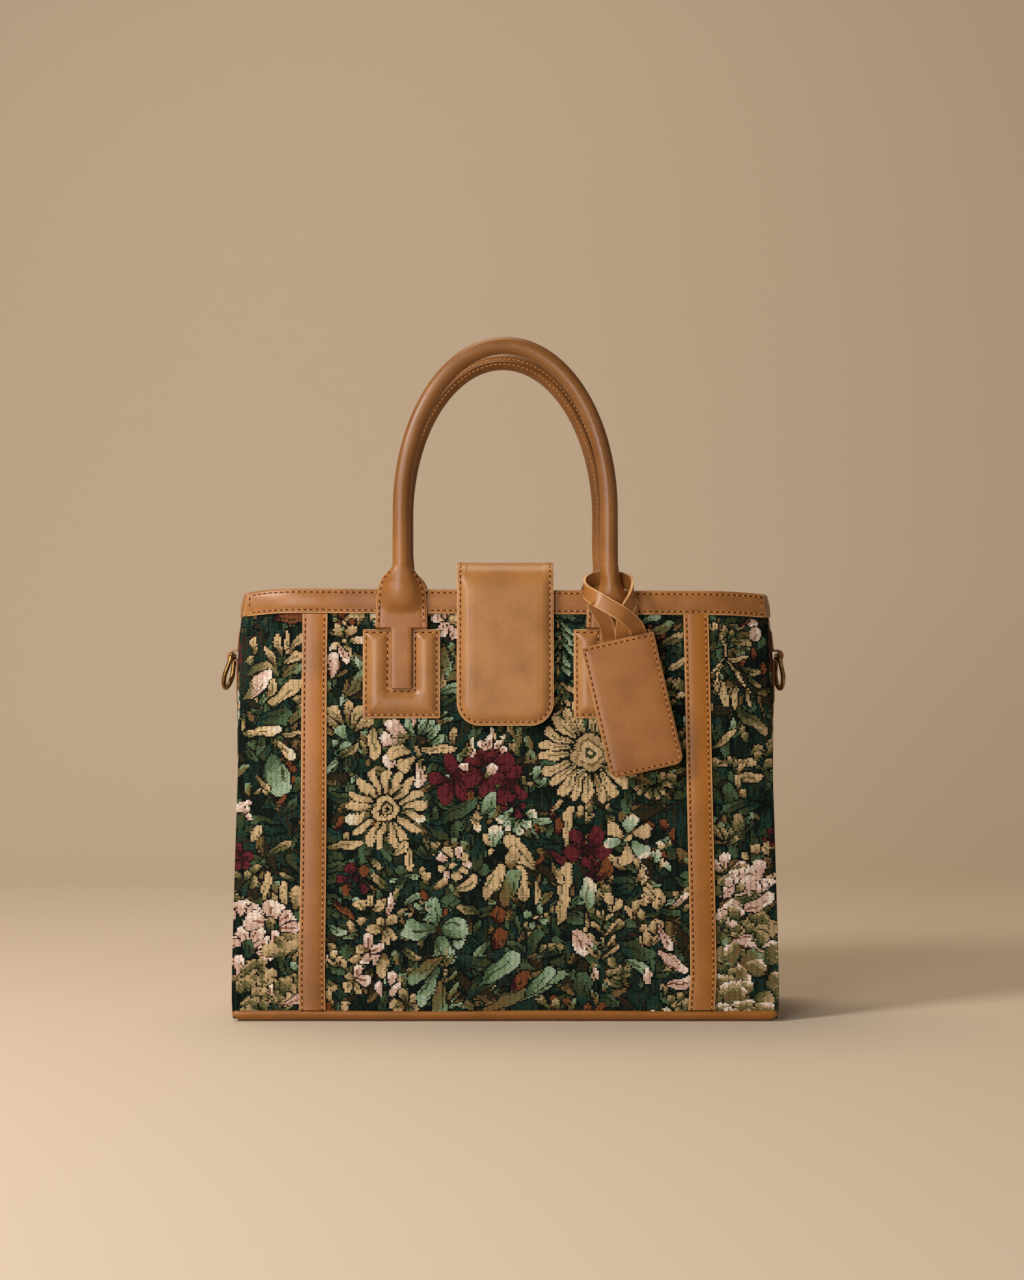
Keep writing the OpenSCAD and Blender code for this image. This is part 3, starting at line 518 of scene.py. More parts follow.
# Motifs of the front: kind, place in mm from the middle of the foot, then what its function in
# weave() takes. A motif without a kind is a leaf.
FRONT_MOTIFS = [
    # Left of the left strap
    ("florets", -178, 279, "sage", 4), (-166, 278, 0.0, 26, "rust", 0.4),
    (-178.5, 254, 1.75, 12, "straw", 0.45), (-160, 243, 2.15, 20, "straw", 0.3),
    (-158, 252, 1.85, 15, "straw", 0.4), (-151.5, 252, 0.95, 18, "straw", 0.36),
    (-154.3, 251, 1.52, 19, "gold", 0.3), (-155.5, 247, 0.4, 16, "gold", 0.4),
    (-157, 238, 0.45, 18, "sage", 0.5), (-166, 218, 0.6, 29, "gold", 0.36),
    (-185, 239, 0.35, 20, "olive", 0.62), (-185, 223, 0.75, 26, "blush", 0.52),
    (-167, 221, 1.3, 16, "straw", 0.45), (-176, 205, 0.2, 28, "fern", 0.65),
    (-152, 205, 0.6, 14, "sage", 0.5), (-186, 199, 0.02, 29, "cream", 0.32),
    (-157, 197, 0.1, 15, "straw", 0.32), (-164, 182, 5.0, 29, "mint", 0.8),
    (-162, 194, 5.5, 21, "cream", 0.36), (-175, 168, 5.5, 15, "straw", 0.3),
    ("rose", -184, 143, 9, "pink", "blush"), (-178, 123, 0.9, 13, "gold", 0.8),
    ("lobes", -184, 112, 8, "wine", 5, None, 0.5), (-166, 112, 0.6, 20, "olive", 0.4),
    ("florets", -178, 96, "olive", 4), (-167, 79, 1.5, 23, "gold", 0.28), (-155, 77, 1.5, 19, "gold", 0.4),
    (-146, 74, 1.5, 18, "straw", 0.5), ("fan", -184, 64, 21, "pink", 1.5, 1.4, 3, None, 1.1),
    (-176, 60, 1.3, 14, "pink", 0.6), ("fan", -178, 46, 19, "pink", 1.2, 2.8, 5, "blush", 1.15),
    (-180, 43, 1.2, 12, "fern", 0.9), ("fan", -162, 61, 20, "pink", 1.6, 2.1, 3, "blush", 1.15),
    (-163, 60, 1.6, 10, "olive", 0.9), (-163, 48, 1.2, 14, "pink", 0.7), (-156, 61, 0.3, 15, "pink", 0.55),
    (-184, 30, 1.5, 14, "pink", 0.65), ("rose", -155, 42, 18, "olive", "straw"),
    ("rose", -170, 28, 14, "olive"), ("rose", -178, 17, 16, "olive"),
    ("rose", -158, 17, 18, "olive", "straw"), ("rose", -170, 6, 14, "olive"),
    (-153, 9, 0.5, 17, "pink", 0.45), (-165, 12, 1.2, 13, "blush", 0.4),
    # Under the handles
    ("lobes", -112, 274, 7, "rust", 4), ("lobes", -112, 262, 13, "straw", 5, "cream"),
    (-120, 236, 1.57, 17, "pink", 0.6), (-118, 258, 5.4, 14, "pink", 0.5), (-111, 222, 1.0, 24, "sage", 0.3),
    ("bloom", -41, 275, 12, "pink", 5, "cream"), (-44, 258, 4.9, 20, "sage", 0.5),
    (-44, 244, 4.7, 18, "straw", 0.4), (-48, 226, 0.2, 22, "mint"), ("spray", 38, 282, 4.7, 40, "mint", 5),
    ("spray", 38, 238, 4.8, 34, "straw", 4), (94, 275, 0.35, 15, "mint", 0.42),
    (101, 267, 0.45, 19, "sage", 0.36), (107, 258, 0.5, 21, "olive", 0.42), (115, 243, 0.6, 13, "gold", 0.5),
    (110, 281, 0.1, 14, "fern", 0.5), ("fan", -111, 196, 25, "straw", 1.75, 2.3, 6),
    ("florets", -112, 188, "mint", 3), (-116, 180, 0.6, 16, "olive"), (-94, 202, 4.9, 24, "gold"),
    (-84, 209, 5.3, 22, "straw", 0.5), ("fan", -62, 188, 29, "blush", 2.7, 1.7, 4),
    ("fan", -60, 188, 24, "gold", 4.1, 1.4, 3), ("fan", -60, 189, 22, "mint", 1.1, 1.6, 5),
    (-58, 187, 6.25, 24, "gold"), (-60, 180, 4.7, 20, "blush"), ("daisy", -83, 145, 29, "gold"),
    (-124, 119, 0.05, 24, "straw"), (-78, 113, 0.6, 14, "gold", 0.6), (-66, 118, 4.6, 16, "gold", 0.55),
    (-50, 134, 0.5, 36, "fern", 0.34),
    # Burgundy flowers and what lies between them
    ("lobes", -37, 166, 16, "wine", 5, None, 0.5), ("lobes", -12, 172, 18, "wine", 6, None, 0.48),
    ("lobes", 3, 162, 13, "wine", 4, None, 0.5), (-24, 160, 4.9, 9, "rust", 0.8),
    ("florets", -24, 178, "pink", 2), ("florets", -4, 168, "blush", 1),
    ("fan", -10, 183, 13, "pink", 1.3, 2.0, 4), (-28, 182, 1.1, 14, "cream", 0.25),
    (-36, 190, 1.6, 13, "straw"), (6, 194, 1.9, 15, "straw", 0.3), ("lobes", 6, 147, 9, "wine", 4),
    ("fan", 8, 142, 15, "pale", 4.8, 2.6, 5), (-16, 142, 1.0, 16, "mint", 0.7),
    (-24, 140, 5.2, 12, "cream", 0.6), ("lobes", -36, 107, 14, "gold", 9, "pink", 0.27),
    (-32, 88, 0.7, 17, "gold", 0.5), ("florets", -52, 92, "straw", 3), (-10, 118, 1.3, 16, "pale", 0.7),
    ("florets", -14, 112, "gold", 2), (21, 103, 2.3, 32, "gold", 0.5), (3, 105, 1.3, 14, "straw", 0.8),
    (14, 80, 1.8, 27, "gold", 0.42), (-2, 78, 1.25, 27, "sage", 0.6), (-14, 82, 1.1, 28, "gold", 0.5),
    # Right flowers
    ("aster", 59, 184, 36, "gold"), (106, 152, 1.2, 15, "olive", 0.7), ("florets", 24, 160, "mint", 3),
    (41.5, 116, 1.45, 31, "gold", 0.26), ("lobes", 57, 118, 15, "wine", 5, None, 0.48),
    ("lobes", 62, 102, 10, "wine", 3, None, 0.6), (66, 96, 1.1, 15, "rust", 0.85),
    (31, 140, 0.95, 15, "straw", 0.26), ("fan", 103, 164, 13, "olive", 4.7, 2.6, 6),
    (30, 116, 5.7, 16, "wine"), (38, 64, 1.45, 45, "gold", 0.26), (33, 108, 5.1, 18, "straw", 0.4),
    (57, 76, 1.5, 22, "pale", 0.66), (57, 74, 4.7, 16, "straw", 0.2), ("lobes", 21, 70, 9, "mint", 4),
    (47, 61, 5.35, 19, "pink", 0.9), ("florets", 92, 98, "straw", 5), ("florets", 102, 84, "gold", 5),
    ("florets", 110, 104, "pale", 3), ("florets", 78, 84, "gold", 3), ("florets", 92, 74, "straw", 4),
    (24, 100, 4.6, 22, "straw", 0.25), (114, 76, 0.6, 18, "blush"), (105, 64, 5.3, 22, "pink", 0.36),
    (106, 46, 5.7, 26, "pink", 0.36), (112, 22, 0.2, 22, "pink", 0.4), ("florets", 102, 28, "pink", 1),
    ("florets", 72, 32, "pink", 2), ("spray", 66, 36, 1.5, 36, "straw", 4), ("rose", 80, 30, 11, "olive"),
    ("florets", 100, 50, "straw", 3), ("florets", 112, 12, "olive", 4), ("florets", 62, 14, "sage", 3),
    ("lobes", 86, 124, 18, "pale", 6, "gold", 0.37),
    # Foot of the front
    ("lobes", -105, 96, 13, "wine", 5, "rust"), (-120, 82, 5.5, 20, "rust"),
    ("fan", -94, 72, 14, "gold", 1.6, 1.6, 3), (-81, 70, 1.5, 16, "pink", 0.3),
    ("bloom", -84, 62, 11, "straw"), ("florets", -102, 62, "straw", 3),
    ("bloom", -94, 46, 11, "straw", 5, "pink"), (-84, 44, 4.6, 16, "straw", 0.6),
    ("bloom", -47, 61, 23, "mint", 4, "sage"), ("lobes", -56, 76, 8, "mint", 3),
    ("florets", -112, 36, "straw", 3), ("bloom", -104, 26, 10, "straw", 5, "pink"),
    ("florets", -78, 16, "pink", 3), ("bloom", -70, 10, 11, "olive", 5, "straw"),
    ("florets", -116, 10, "straw", 3), (-4.5, 64, 1.57, 13, "rust", 0.95), (-9, 48, 1.0, 17, "rust", 0.8),
    (-40, 36, 5.5, 34, "drab", 0.3), (-34, 44, 5.9, 36, "fern", 0.34), (-36, 30, 5.7, 44, "drab", 0.24),
    ("spray", -42, 6, 1.57, 36, "sage", 3), (-43, 42, 3.75, 30, "sage", 0.4),
    (-46, 36, 4.25, 32, "mint", 0.36), (-44, 26, 4.6, 26, "sage", 0.5), (-28, 14, 0.7, 46, "fern", 0.3),
    (-18, 24, 0.62, 36, "mint", 0.4), (-14, 6, 0.42, 62, "sage", 0.22), (6, 24, 0.2, 36, "sage", 0.42),
    (14, 16, 0.75, 28, "mint", 0.4), (3, 21, 0.6, 17, "rust", 0.7), (54, 8, 1.6, 24, "fern", 0.7),
    (14, 44, 1.0, 20, "fern", 0.5),
    # Right of the right strap
    (148.6, 281, 4.92, 32, "straw", 0.07), (157, 273, 0.1, 13, "olive", 0.4),
    (156, 262, 0.0, 19, "olive", 0.3), (158, 257, 6.1, 12, "sage", 0.3), (156, 250, 0.12, 16, "gold", 0.28),
    (166, 242, 0, 15, "olive", 0.36), (148, 264, 4.1, 11, "olive", 0.35),
    (154.6, 250.5, 3.85, 14, "gold", 0.17), (153, 247, 4.25, 19, "gold", 0.15),
    (156, 249, 5.35, 28, "gold", 0.1), (153, 233, 4.75, 16, "gold", 0.6),
    (162.5, 232, 4.65, 18, "gold", 0.34), (169, 231, 4.95, 14, "straw", 0.28),
    (172, 240, 5.5, 14, "olive", 0.3), (163, 215, 5.65, 27, "olive", 0.42),
    (145, 187, 0.68, 21, "straw", 0.34), (146, 178, 6.25, 30, "straw", 0.3),
    (171, 278, 5.95, 10, "blush", 0.75), (173, 265, 0.6, 12, "pink", 0.8), (166, 275, 0.3, 9, "rust", 0.4),
    (160, 165, 0.2, 22, "straw", 0.36), ("florets", 158, 168, "olive", 4), ("florets", 168, 158, "straw", 3),
    (166, 122, 1.8, 20, "olive", 0.5), (152, 124, 2.3, 17, "straw", 0.25), ("florets", 178, 118, "straw", 3),
    ("lobes", 186, 126, 7, "wine", 4), ("rose", 150, 60, 18, "olive"), ("rose", 178, 66, 19, "olive"),
    ("rose", 150, 30, 17, "olive"), ("rose", 166, 40, 20, "sage", "olive"),
    ("fan", 154, 98, 16, "blush", 1.2, 2.2, 4), ("rose", 166, 84, 23, "blush"),
    ("rose", 172, 90, 18, "pink", "blush"), (166, 74, 0.5, 24, "pink", 0.4),
    ("rose", 156, 66, 13, "blush", "olive"), ("rose", 154, 88, 12, "pink"), (156, 50, 0.3, 20, "pink", 0.5),
    ("rose", 176, 52, 14, "olive", "blush"), ("scales", 142, 190, -12, 56, "frill"),
]

BAND_HIDES = 15  # what the band covers of a cloth's upper edge
CLOTH_TALL = 296
HALF_GUSSET = 65
# The roll of a panel's side edge over the corner seam
ROLL = np.array([[0.5, 0.7, 0], [0.4, 1.8, 0], [-0.3, 2.7, 0]])
us = np.linspace(-HALF_CLOTH, HALF_CLOTH, 291)
ups = np.linspace(0, 1, 297)
mid_u, mid_v = (us[1:] + us[:-1]) / 2, PANEL_TALL * (ups[1:] + ups[:-1]) / 2
full = np.clip(1 - np.abs(us) / 128, 0, 1)[None] * np.sin(np.pi * np.clip(ups * 1.35, 0, 1))[:, None]
slack = 0.25 * np.sin(us[None] / 23 + ups[:, None] * 9) * np.sin(ups[:, None] * 17 + us[None] / 37)
tuck = np.clip((PANEL_TALL * (ups[:, None] - 1) + BAND_HIDES) / 3, 0, 1)
middle = panel(us[None], ups[:, None], 0.9 * np.sqrt(full) + slack * full - 0.05, -3.2 * tuck)
left, right = middle[:, :1] + (ROLL * [-1, 1, 1])[::-1], middle[:, -1:] + ROLL
points = np.concatenate([left, middle, right], 1)
strewn = scattered(5, 2 * HALF_CLOTH, CLOTH_TALL)
for name, node, back, motifs, seed in (("front_cloth", "front_panel", False, FRONT_MOTIFS, 11),
                                       ("back_cloth", "back_panel", True, strewn, 12)):
    ink = np.pad(weave(mid_u, mid_v, motifs, seed), ((0, 0), (len(ROLL), len(ROLL))), "edge")
    cloth(name, turned(points, back), ink, seed, node)

across = np.linspace(-1, 1, 104)
ups = np.linspace(0, 1, 294)
mid_a, mid_v = HALF_GUSSET * (across[1:] + across[:-1]) / 2, GUSSET_TALL * (ups[1:] + ups[:-1]) / 2
tuck = np.clip((GUSSET_TALL * (ups[:, None] - 1) + BAND_HIDES) / 3, 0, 1)
points = gusset(across[None], ups[:, None], -5.6 * tuck * across[None] ** 2)
wine_flowers = [("lobes", -36, 250, 24, "wine", 6), ("lobes", 22, 240, 22, "wine", 6)]
for name, node, back, seed in (("right_cloth", "right_gusset", False, 21),
                               ("left_cloth", "left_gusset", True, 22)):
    ink = weave(mid_a, mid_v, scattered(seed, 2 * HALF_GUSSET, CLOTH_TALL) + wine_flowers, seed)
    cloth(name, turned(points, back), ink, seed, node)

# Lining
# A plain cotton twill bag sewn inside the walls, lying on the base board and
# caught under the leather band at the rim.


def twill():
    """Cotton twill in a warm drab, with diagonal wales every 1.5 mm."""
    made, tree, shader, place = material("cotton twill")
    lines = {"Vector": place, "Scale": 330, "Distortion": 0.6}
    wale = add(tree, "TexWave", lines, bands_direction="DIAGONAL").outputs["Fac"]
    bump = add(tree, "Bump", {"Height": wale, "Strength": 0.2, "Distance": 0.0003})
    feed(tree, shader, {"Base Color": ramp(tree, wale, (0, "#84745A"), (1, "#A08F72")),
                        "Normal": bump.outputs["Normal"], "Roughness": 0.9})
    return made


LINING_IN = 3.6  # from the face of the cloth
rings = []
for up in np.concatenate([[0.0165], np.linspace(0.03, 1, 40)]):
    front = panel(np.linspace(-HALF_CLOTH, HALF_CLOTH, 61), up, -LINING_IN, -4.5)
    front[:, 1] += 0.5 * np.sin(front[:, 0] / 19 + 6 * up) * np.sin(np.pi * up)
    right = gusset(np.linspace(-0.9, 0.9, 15), up, -LINING_IN)
    rings.append(np.concatenate([front, right, turned(front, True), turned(right, True)]))
skin = twill()
verts, faces, _ = tube(rings, skin)
inside = piece("lining_cloth", [(verts, faces[:-1], skin)], "bag", ["lining"])

# Rim bands
# Tan leather, painted darker as shade, folded over the rim and stitched through near
# both edges, in four lengths that meet at the corners.

tan = leather("tan leather", "#B5824C", "#A57342", "#8E5F33")
# The tan leather painted darker as shade, for the rims, handles, tag and its strap
shaded_tan = leather("tan leather with painted shade", "#A8713B", "#986433", "#815228")


def thread_look():
    """Waxed polyester thread in pale tan."""
    made, tree, shader, place = material("tan thread")
    twist = add(tree, "TexNoise", {"Vector": place, "Scale": 1500}).outputs["Fac"]
    feed(tree, shader, {"Base Color": ramp(tree, twist, (0, "#B4763A"), (1, "#E0A462")), "Roughness": 0.6})
    return made


thread = thread_look()


def hole_shade_look():
    """Dark matte discs of painted shade, laid where the needle holes are."""
    made, tree, shader, _ = material("needle hole shade")
    feed(tree, shader, {"Base Color": linear("#43210B"), "Roughness": 0.9, "Specular IOR Level": 0.05})
    return made


hole_shade = hole_shade_look()


def stitches(path, normals, pitch=4.2, long=1.9, r=0.42, pricks=True):
    """A row of lock stitches along a path: short threads that dip into needle holes, each hole a dark disc of
    painted shade.
    """
    path = np.asarray(path, float)
    normals = np.broadcast_to(np.asarray(normals, float), path.shape)
    along = distance_along(path)
    count = max(1, int(along[-1] / pitch))
    at = (np.arange(count) + 0.5) * along[-1] / count
    pick = lambda table, s: np.stack([np.interp(s, along, table[:, k]) for k in range(3)], -1)
    way = pick(path, at + 0.5) - pick(path, at - 0.5)
    way /= np.linalg.norm(way, axis=1, keepdims=True)
    up = pick(normals, at)
    up -= way * np.sum(up * way, 1, keepdims=True)
    up /= np.linalg.norm(up, axis=1, keepdims=True)
    side = np.cross(way, up)
    turn = np.linspace(0, 2 * np.pi, 6, endpoint=False)
    verts = np.zeros((count, 5, 6, 3))
    # Along a stitch: its place, its thickness and its lift
    hump = ((-1, 0.2, -0.45), (-0.65, 0.85, 0.05), (0, 1, 0.18), (0.65, 0.85, 0.05), (1, 0.2, -0.45))
    for k, (s, size, lift) in enumerate(hump):
        spot = pick(path, at) + way * s * long / 2 + up * lift
        verts[:, k] = (spot[:, None] + up[:, None] * (r * size * np.sin(turn))[None, :, None]
                       + side[:, None] * (r * size * np.cos(turn))[None, :, None])
    one = grid(5, 6, True)
    faces = [[i + 30 * n for i in f] for n in range(count) for f in one]
    # Painted shade: a dark disc at each needle hole, between the stitches
    spot = pick(path, at) + way * pitch / 2
    holes = np.zeros((count, 9, 3))
    holes[:, 0] = spot + 0.36 * up
    for k, a in enumerate(np.linspace(0, 2 * np.pi, 8, endpoint=False)):
        holes[:, 1 + k] = spot + 1.3 * math.cos(a) * way + 0.52 * math.sin(a) * side + 0.06 * up
    pits = [[9 * n, 9 * n + 1 + k, 9 * n + 1 + (k + 1) % 8] for n in range(count) for k in range(8)]
    return [(verts.reshape(-1, 3), faces, thread), (holes.reshape(-1, 3), pits, hole_shade)][: 1 + pricks]


# Painted highlight: pale leather for the cut edges, where they catch the light
edge_highlight = leather("leather edge with painted highlight", "#D8AE7C", "#C99A66", "#B4834E")


def edging(path, up, r=0.42):
    """The cut edge of a piece of leather, as a thin bead along a path, pale as a painted highlight."""
    path = np.asarray(path, float)
    up = np.broadcast_to(np.asarray(up, float), path.shape)
    way = np.gradient(path, axis=0)
    side = np.cross(way, up)
    side /= np.linalg.norm(side, axis=1, keepdims=True)
    turn = np.linspace(0, 2 * np.pi, 6, endpoint=False)[None, :, None]
    return [tube(path[:, None] + r * (np.cos(turn) * side[:, None] + np.sin(turn) * up[:, None]), edge_highlight)]


# Section of a band: out from the panel, and height above the rim
BAND = np.array([
    [0.3, -14.4], [1.5, -14.5], [2.0, -14.1], [2.2, -13.3], [1.95, -12.4], [2.4, -11.2], [2.7, -8.5],
    [2.75, -6], [2.6, -2.6], [2.25, -1.0], [2.05, -0.3], [2.15, 0.5], [1.8, 1.3], [1.0, 1.9], [0, 2.2],
    [-2.2, 2.25], [-4.9, 2.1], [-6.1, 1.6], [-6.7, 0.6], [-6.8, -1], [-6.8, -14], [-6.4, -14.4],
    [-5.0, -14.4], [-5.0, 0], [-2, 0.3], [0.3, 0.2],
])
# Rows of stitches on a band: height above the rim, and out from the panel
SEAMS = ((-12.6, 2.05), (-0.3, 2.1))
CUT_OUT = 1.6  # how far out the cut edge lies
SEAM_END, BAND_END = 185.5, 188.0


def share(rise):
    """Share of the panel's height at a rise above its rim."""
    return 1 + rise / PANEL_TALL


def taper(rise):
    """How much shorter a band is at a rise above the rim, so that its ends lean in."""
    return -0.5 - 2.2 * (rise + 14) / 16


band_out, band_up = BAND[:, 0], share(BAND[:, 1])
drawn = taper(np.clip(BAND[:, 1], -14, 2))
columns = np.concatenate([np.linspace(-HALF_CLOTH, -HALF_FLAT, 24), np.linspace(-140, 140, 70),
                          np.linspace(HALF_FLAT, HALF_CLOTH, 24)])
soft = 0.2 * np.sin(columns / 9.0) * np.sin(columns / 31 + 1)
over_strips = 0.6 * np.exp(-(((np.abs(columns) - 133) / 8) ** 2))
run = np.linspace(-186, 186, 260)
for name, node, back in (("front_rim", "front_band", False), ("back_rim", "back_band", True)):
    rings = [turned(panel(u, band_up, band_out + puff * (band_out > 2.3), drawn), back)
             for u, puff in zip(columns, soft + over_strips)]
    parts = [tube(rings, shaded_tan)]
    outward = turned(np.array([0.0, -1, 0.05]), back)
    for level, out in SEAMS:
        parts += stitches(turned(panel(run, share(level), out, -2), back), outward)
    parts += edging(turned(panel(run, share(-14.3), CUT_OUT, -1), back), outward)
    for side in (-1, 1):
        rise = np.linspace(-11, -2.5, 12)
        parts += stitches(turned(panel(side * SEAM_END, share(rise), 2.55, -2), back), outward)
        rise = np.linspace(-14.2, 1.2, 8)
        parts += edging(turned(panel(side * BAND_END, share(rise), CUT_OUT, taper(rise)), back), outward)
    piece(name, parts, "bag", [node])
reach = -panel(HALF_CLOTH, band_up, band_out, drawn)[:, 1] - 0.3
pinch = 4.6 + 0.9 * np.clip(band_out, 0, None)
run = np.linspace(-0.95, 0.95, 60)
for name, node, back in (("right_rim", "right_band", False), ("left_rim", "left_band", True)):
    rings = [turned(gusset(a, band_up, band_out - pinch * a**2, reach), back) for a in np.linspace(-1, 1, 40)]
    parts = [tube(rings, shaded_tan)]
    for level, out in SEAMS:
        up = share(level)
        seam = gusset(run, up, out - 6.4 * run**2, half_d(up) - SIDE_BEND * up)
        parts += stitches(turned(seam, back), turned(np.array([1.0, 0, 0]), back))
    piece(name, parts, "bag", [node])

# Upright strips
# Brown leather straps, darker and warmer as painted shade, from under the band to the
# base, stitched down both edges, so that each stands a little proud along its middle.

LEAN = math.atan(DRAWN_IN / PANEL_TALL)


def face(x, n, v, back=False):
    """Point beside a panel in mm: n out from its face, v up from its rim."""
    x, n, v = np.broadcast_arrays(*(np.asarray(k, float) for k in (x, n, v)))
    y = -(RIM_OUT + n * math.cos(LEAN) - v * math.sin(LEAN))
    z = RIM_HIGH + n * math.sin(LEAN) + v * math.cos(LEAN)
    return turned(np.stack([x, y, z], -1), back)


def facing(back):
    """The way out of the front or back panel."""
    return turned(np.array([0.0, -math.cos(LEAN), math.sin(LEAN)]), back)


# Half the section of a strip, across and out from the panel, then the whole of it
HALF_STRIP = [[-8.75, 0.3], [-8.8, 1.2], [-8.5, 1.8], [-7.7, 2.05], [-6.9, 1.8], [-5.6, 2.1], [-2.8, 2.3]]
STRIP = np.array(HALF_STRIP + [[0, 2.35]] + [[-x, n] for x, n in reversed(HALF_STRIP)])
STRIP_AT, STRIP_LONG, STRIP_SEAM = 132.4, 290, 6.9
CORNERS = (("front_left", -1, False), ("front_right", 1, False),
           ("back_left", 1, True), ("back_right", -1, True))
drop = np.linspace(-14.6, -290.2, 90)
broad = 0.95 - 0.06 * drop / STRIP_LONG
for name, side, back in CORNERS:
    drift = STRIP_AT * side - (0.8 + 1.4 * side) * drop / STRIP_LONG + 0.35 * np.sin(drop / 47 + side)
    drift = drift + (0.9 + 2.3 * side) * (1 - np.exp(drop / 100)) * np.clip((drop + 310) / 45, 0, 1)
    rings = [face(b * STRIP[:, 0] + d, STRIP[:, 1], v, back) for v, d, b in zip(drop, drift, broad)]
    parts = [tube(rings, brown_and_shade)]
    for edge in (-STRIP_SEAM, STRIP_SEAM):
        parts += stitches(face(drift + broad * edge, 1.9, drop, back), facing(back))
        parts += edging(face(drift + 1.25 * broad * edge, 1.55, drop, back), facing(back))
    piece(name + "_strap", parts, "bag", [name + "_strip"])

# Handles
# Rolled grips: leather wrapped on a cord core and sewn along the side that faces
# the bag's middle. Each end runs out into a flat stitched tab over the core's end,
# and on as a tongue that is sewn down in the slot of a padded patch.

HANDLE_AT = 72.5  # each end of a handle from the bag's middle
ARCH_FOOT, ARCH_RISE = 57, 116
GRIP_R, GRIP_OUT = 6.1, 8.5
TAG_PULL = 2.3  # how far the tag draws the right end of a handle outward
TAB_TOP = 19.6
# Half width of a tab, then the swell of the core under it, each by its height above the rim
TAB = np.array([[-25.9, 17.75], [-25.4, 17.95], [-23, 17.9], [-12, 17.5], [-6, 17.2], [0, 16.7], [3.4, 16.1],
                [7, 15.0], [10, 13.4], [12.5, 11.2], [14.5, 9.2], [16.5, 7.4], [18.2, 6.4], [TAB_TOP, 6.15]])
TIED = np.array([[-14, 18], [-8, 16], [-3, 12.5], [2, 9], [6, 7.3], [10, 6.5]])
CORE = np.array([[-25.9, 0], [-15, 0], [-12.5, 2.2], [-10, 5.2], [-6, 7.6], [0, 8.9], [6, 9.3], [17.1, 9.4]])
turn = np.linspace(0, 2 * np.pi, 40, endpoint=False)
bow = lambda t, p: np.sign(t) * np.abs(t) ** p


def tab_half(v, tied):
    """Half width of a handle end at height v; the end with the tag is gathered by its strap."""
    half = np.interp(v, TAB[:, 0], TAB[:, 1])
    return np.minimum(half, np.interp(v, TIED[:, 0], TIED[:, 1])) if tied else half


def tab_ring(v, tied=False):
    """Section of a handle end at height v, across and out: a tab with the core's swell, then a grip."""
    half = tab_half(v, tied)
    wide = np.minimum(0.86 * half, np.interp(v, [-4, 4, 10, 14, 19], [13.5, 12.2, 9.8, 7.6, 6.2]))
    mix = np.clip((v - 6) / 12.5, 0, 1)
    mix = mix * mix * (3 - 2 * mix)
    x = half * (bow(np.cos(turn), 0.45) * (1 - mix) + np.cos(turn) * mix)
    top = np.sin(turn) > 0
    swell = np.interp(v - 4.5 * (x / wide) ** 2, CORE[:, 0], CORE[:, 1])
    n = 3.8 + 1.4 * bow(np.sin(turn), 0.35) + np.where(top, swell * np.exp(-np.abs(x / wide) ** 3.5), 0)
    deep = half - np.abs(x)
    lip = 0.35 * np.exp(-((deep - 1.2) / 0.8) ** 2) - 0.3 * np.exp(-((deep - 2.7) / 0.7) ** 2)
    n = n + np.where(top & (v < 6), lip, 0)
    dip = np.clip((-24.4 - v) / 1.2, 0, 1)
    n = n - np.where(top, dip * (0.15 + 2.9 * np.clip(np.abs(x) - 6.9, 0, 1)), 0)
    return x, n * (1 - mix) + (GRIP_OUT + GRIP_R * np.sin(turn)) * mix


def tongue_ring(v):
    """Section of a tongue at height v, as across and out."""
    tall = np.interp(v, [-24, -22.5, -20.5], [2.62, 2.55, 2.2])
    return 7.4 * bow(np.cos(turn), 0.35), 2.6 + tall * bow(np.sin(turn), 0.35)


def lean(v):
    """How far the right end of a handle is drawn outward at height v, under the pull of the tag."""
    return TAG_PULL * np.clip((18 - v) / 28, 0, 1)


def sway(v, back):
    """How far the rear handle has settled sideways at height v."""
    return 2.2 * back * np.clip(v / 30, 0, 1)


def grip_ring():
    """Round section with the sewn ridge on the side that faces the bag's middle."""
    off_seam = ((turn + np.pi / 2) % math.tau + np.pi) % math.tau - np.pi
    r = GRIP_R + 1.5 * np.exp(-((off_seam / 0.16) ** 2))
    return r * np.cos(turn), GRIP_OUT + r * np.sin(turn)


def arch(t):
    """Place on a grip's arch as across and up, and the way out of the arch there."""
    way = np.array([math.cos(t) / HANDLE_AT, math.sin(t) / ARCH_RISE])
    return HANDLE_AT * math.cos(t), ARCH_FOOT + ARCH_RISE * math.sin(t), way / np.linalg.norm(way)


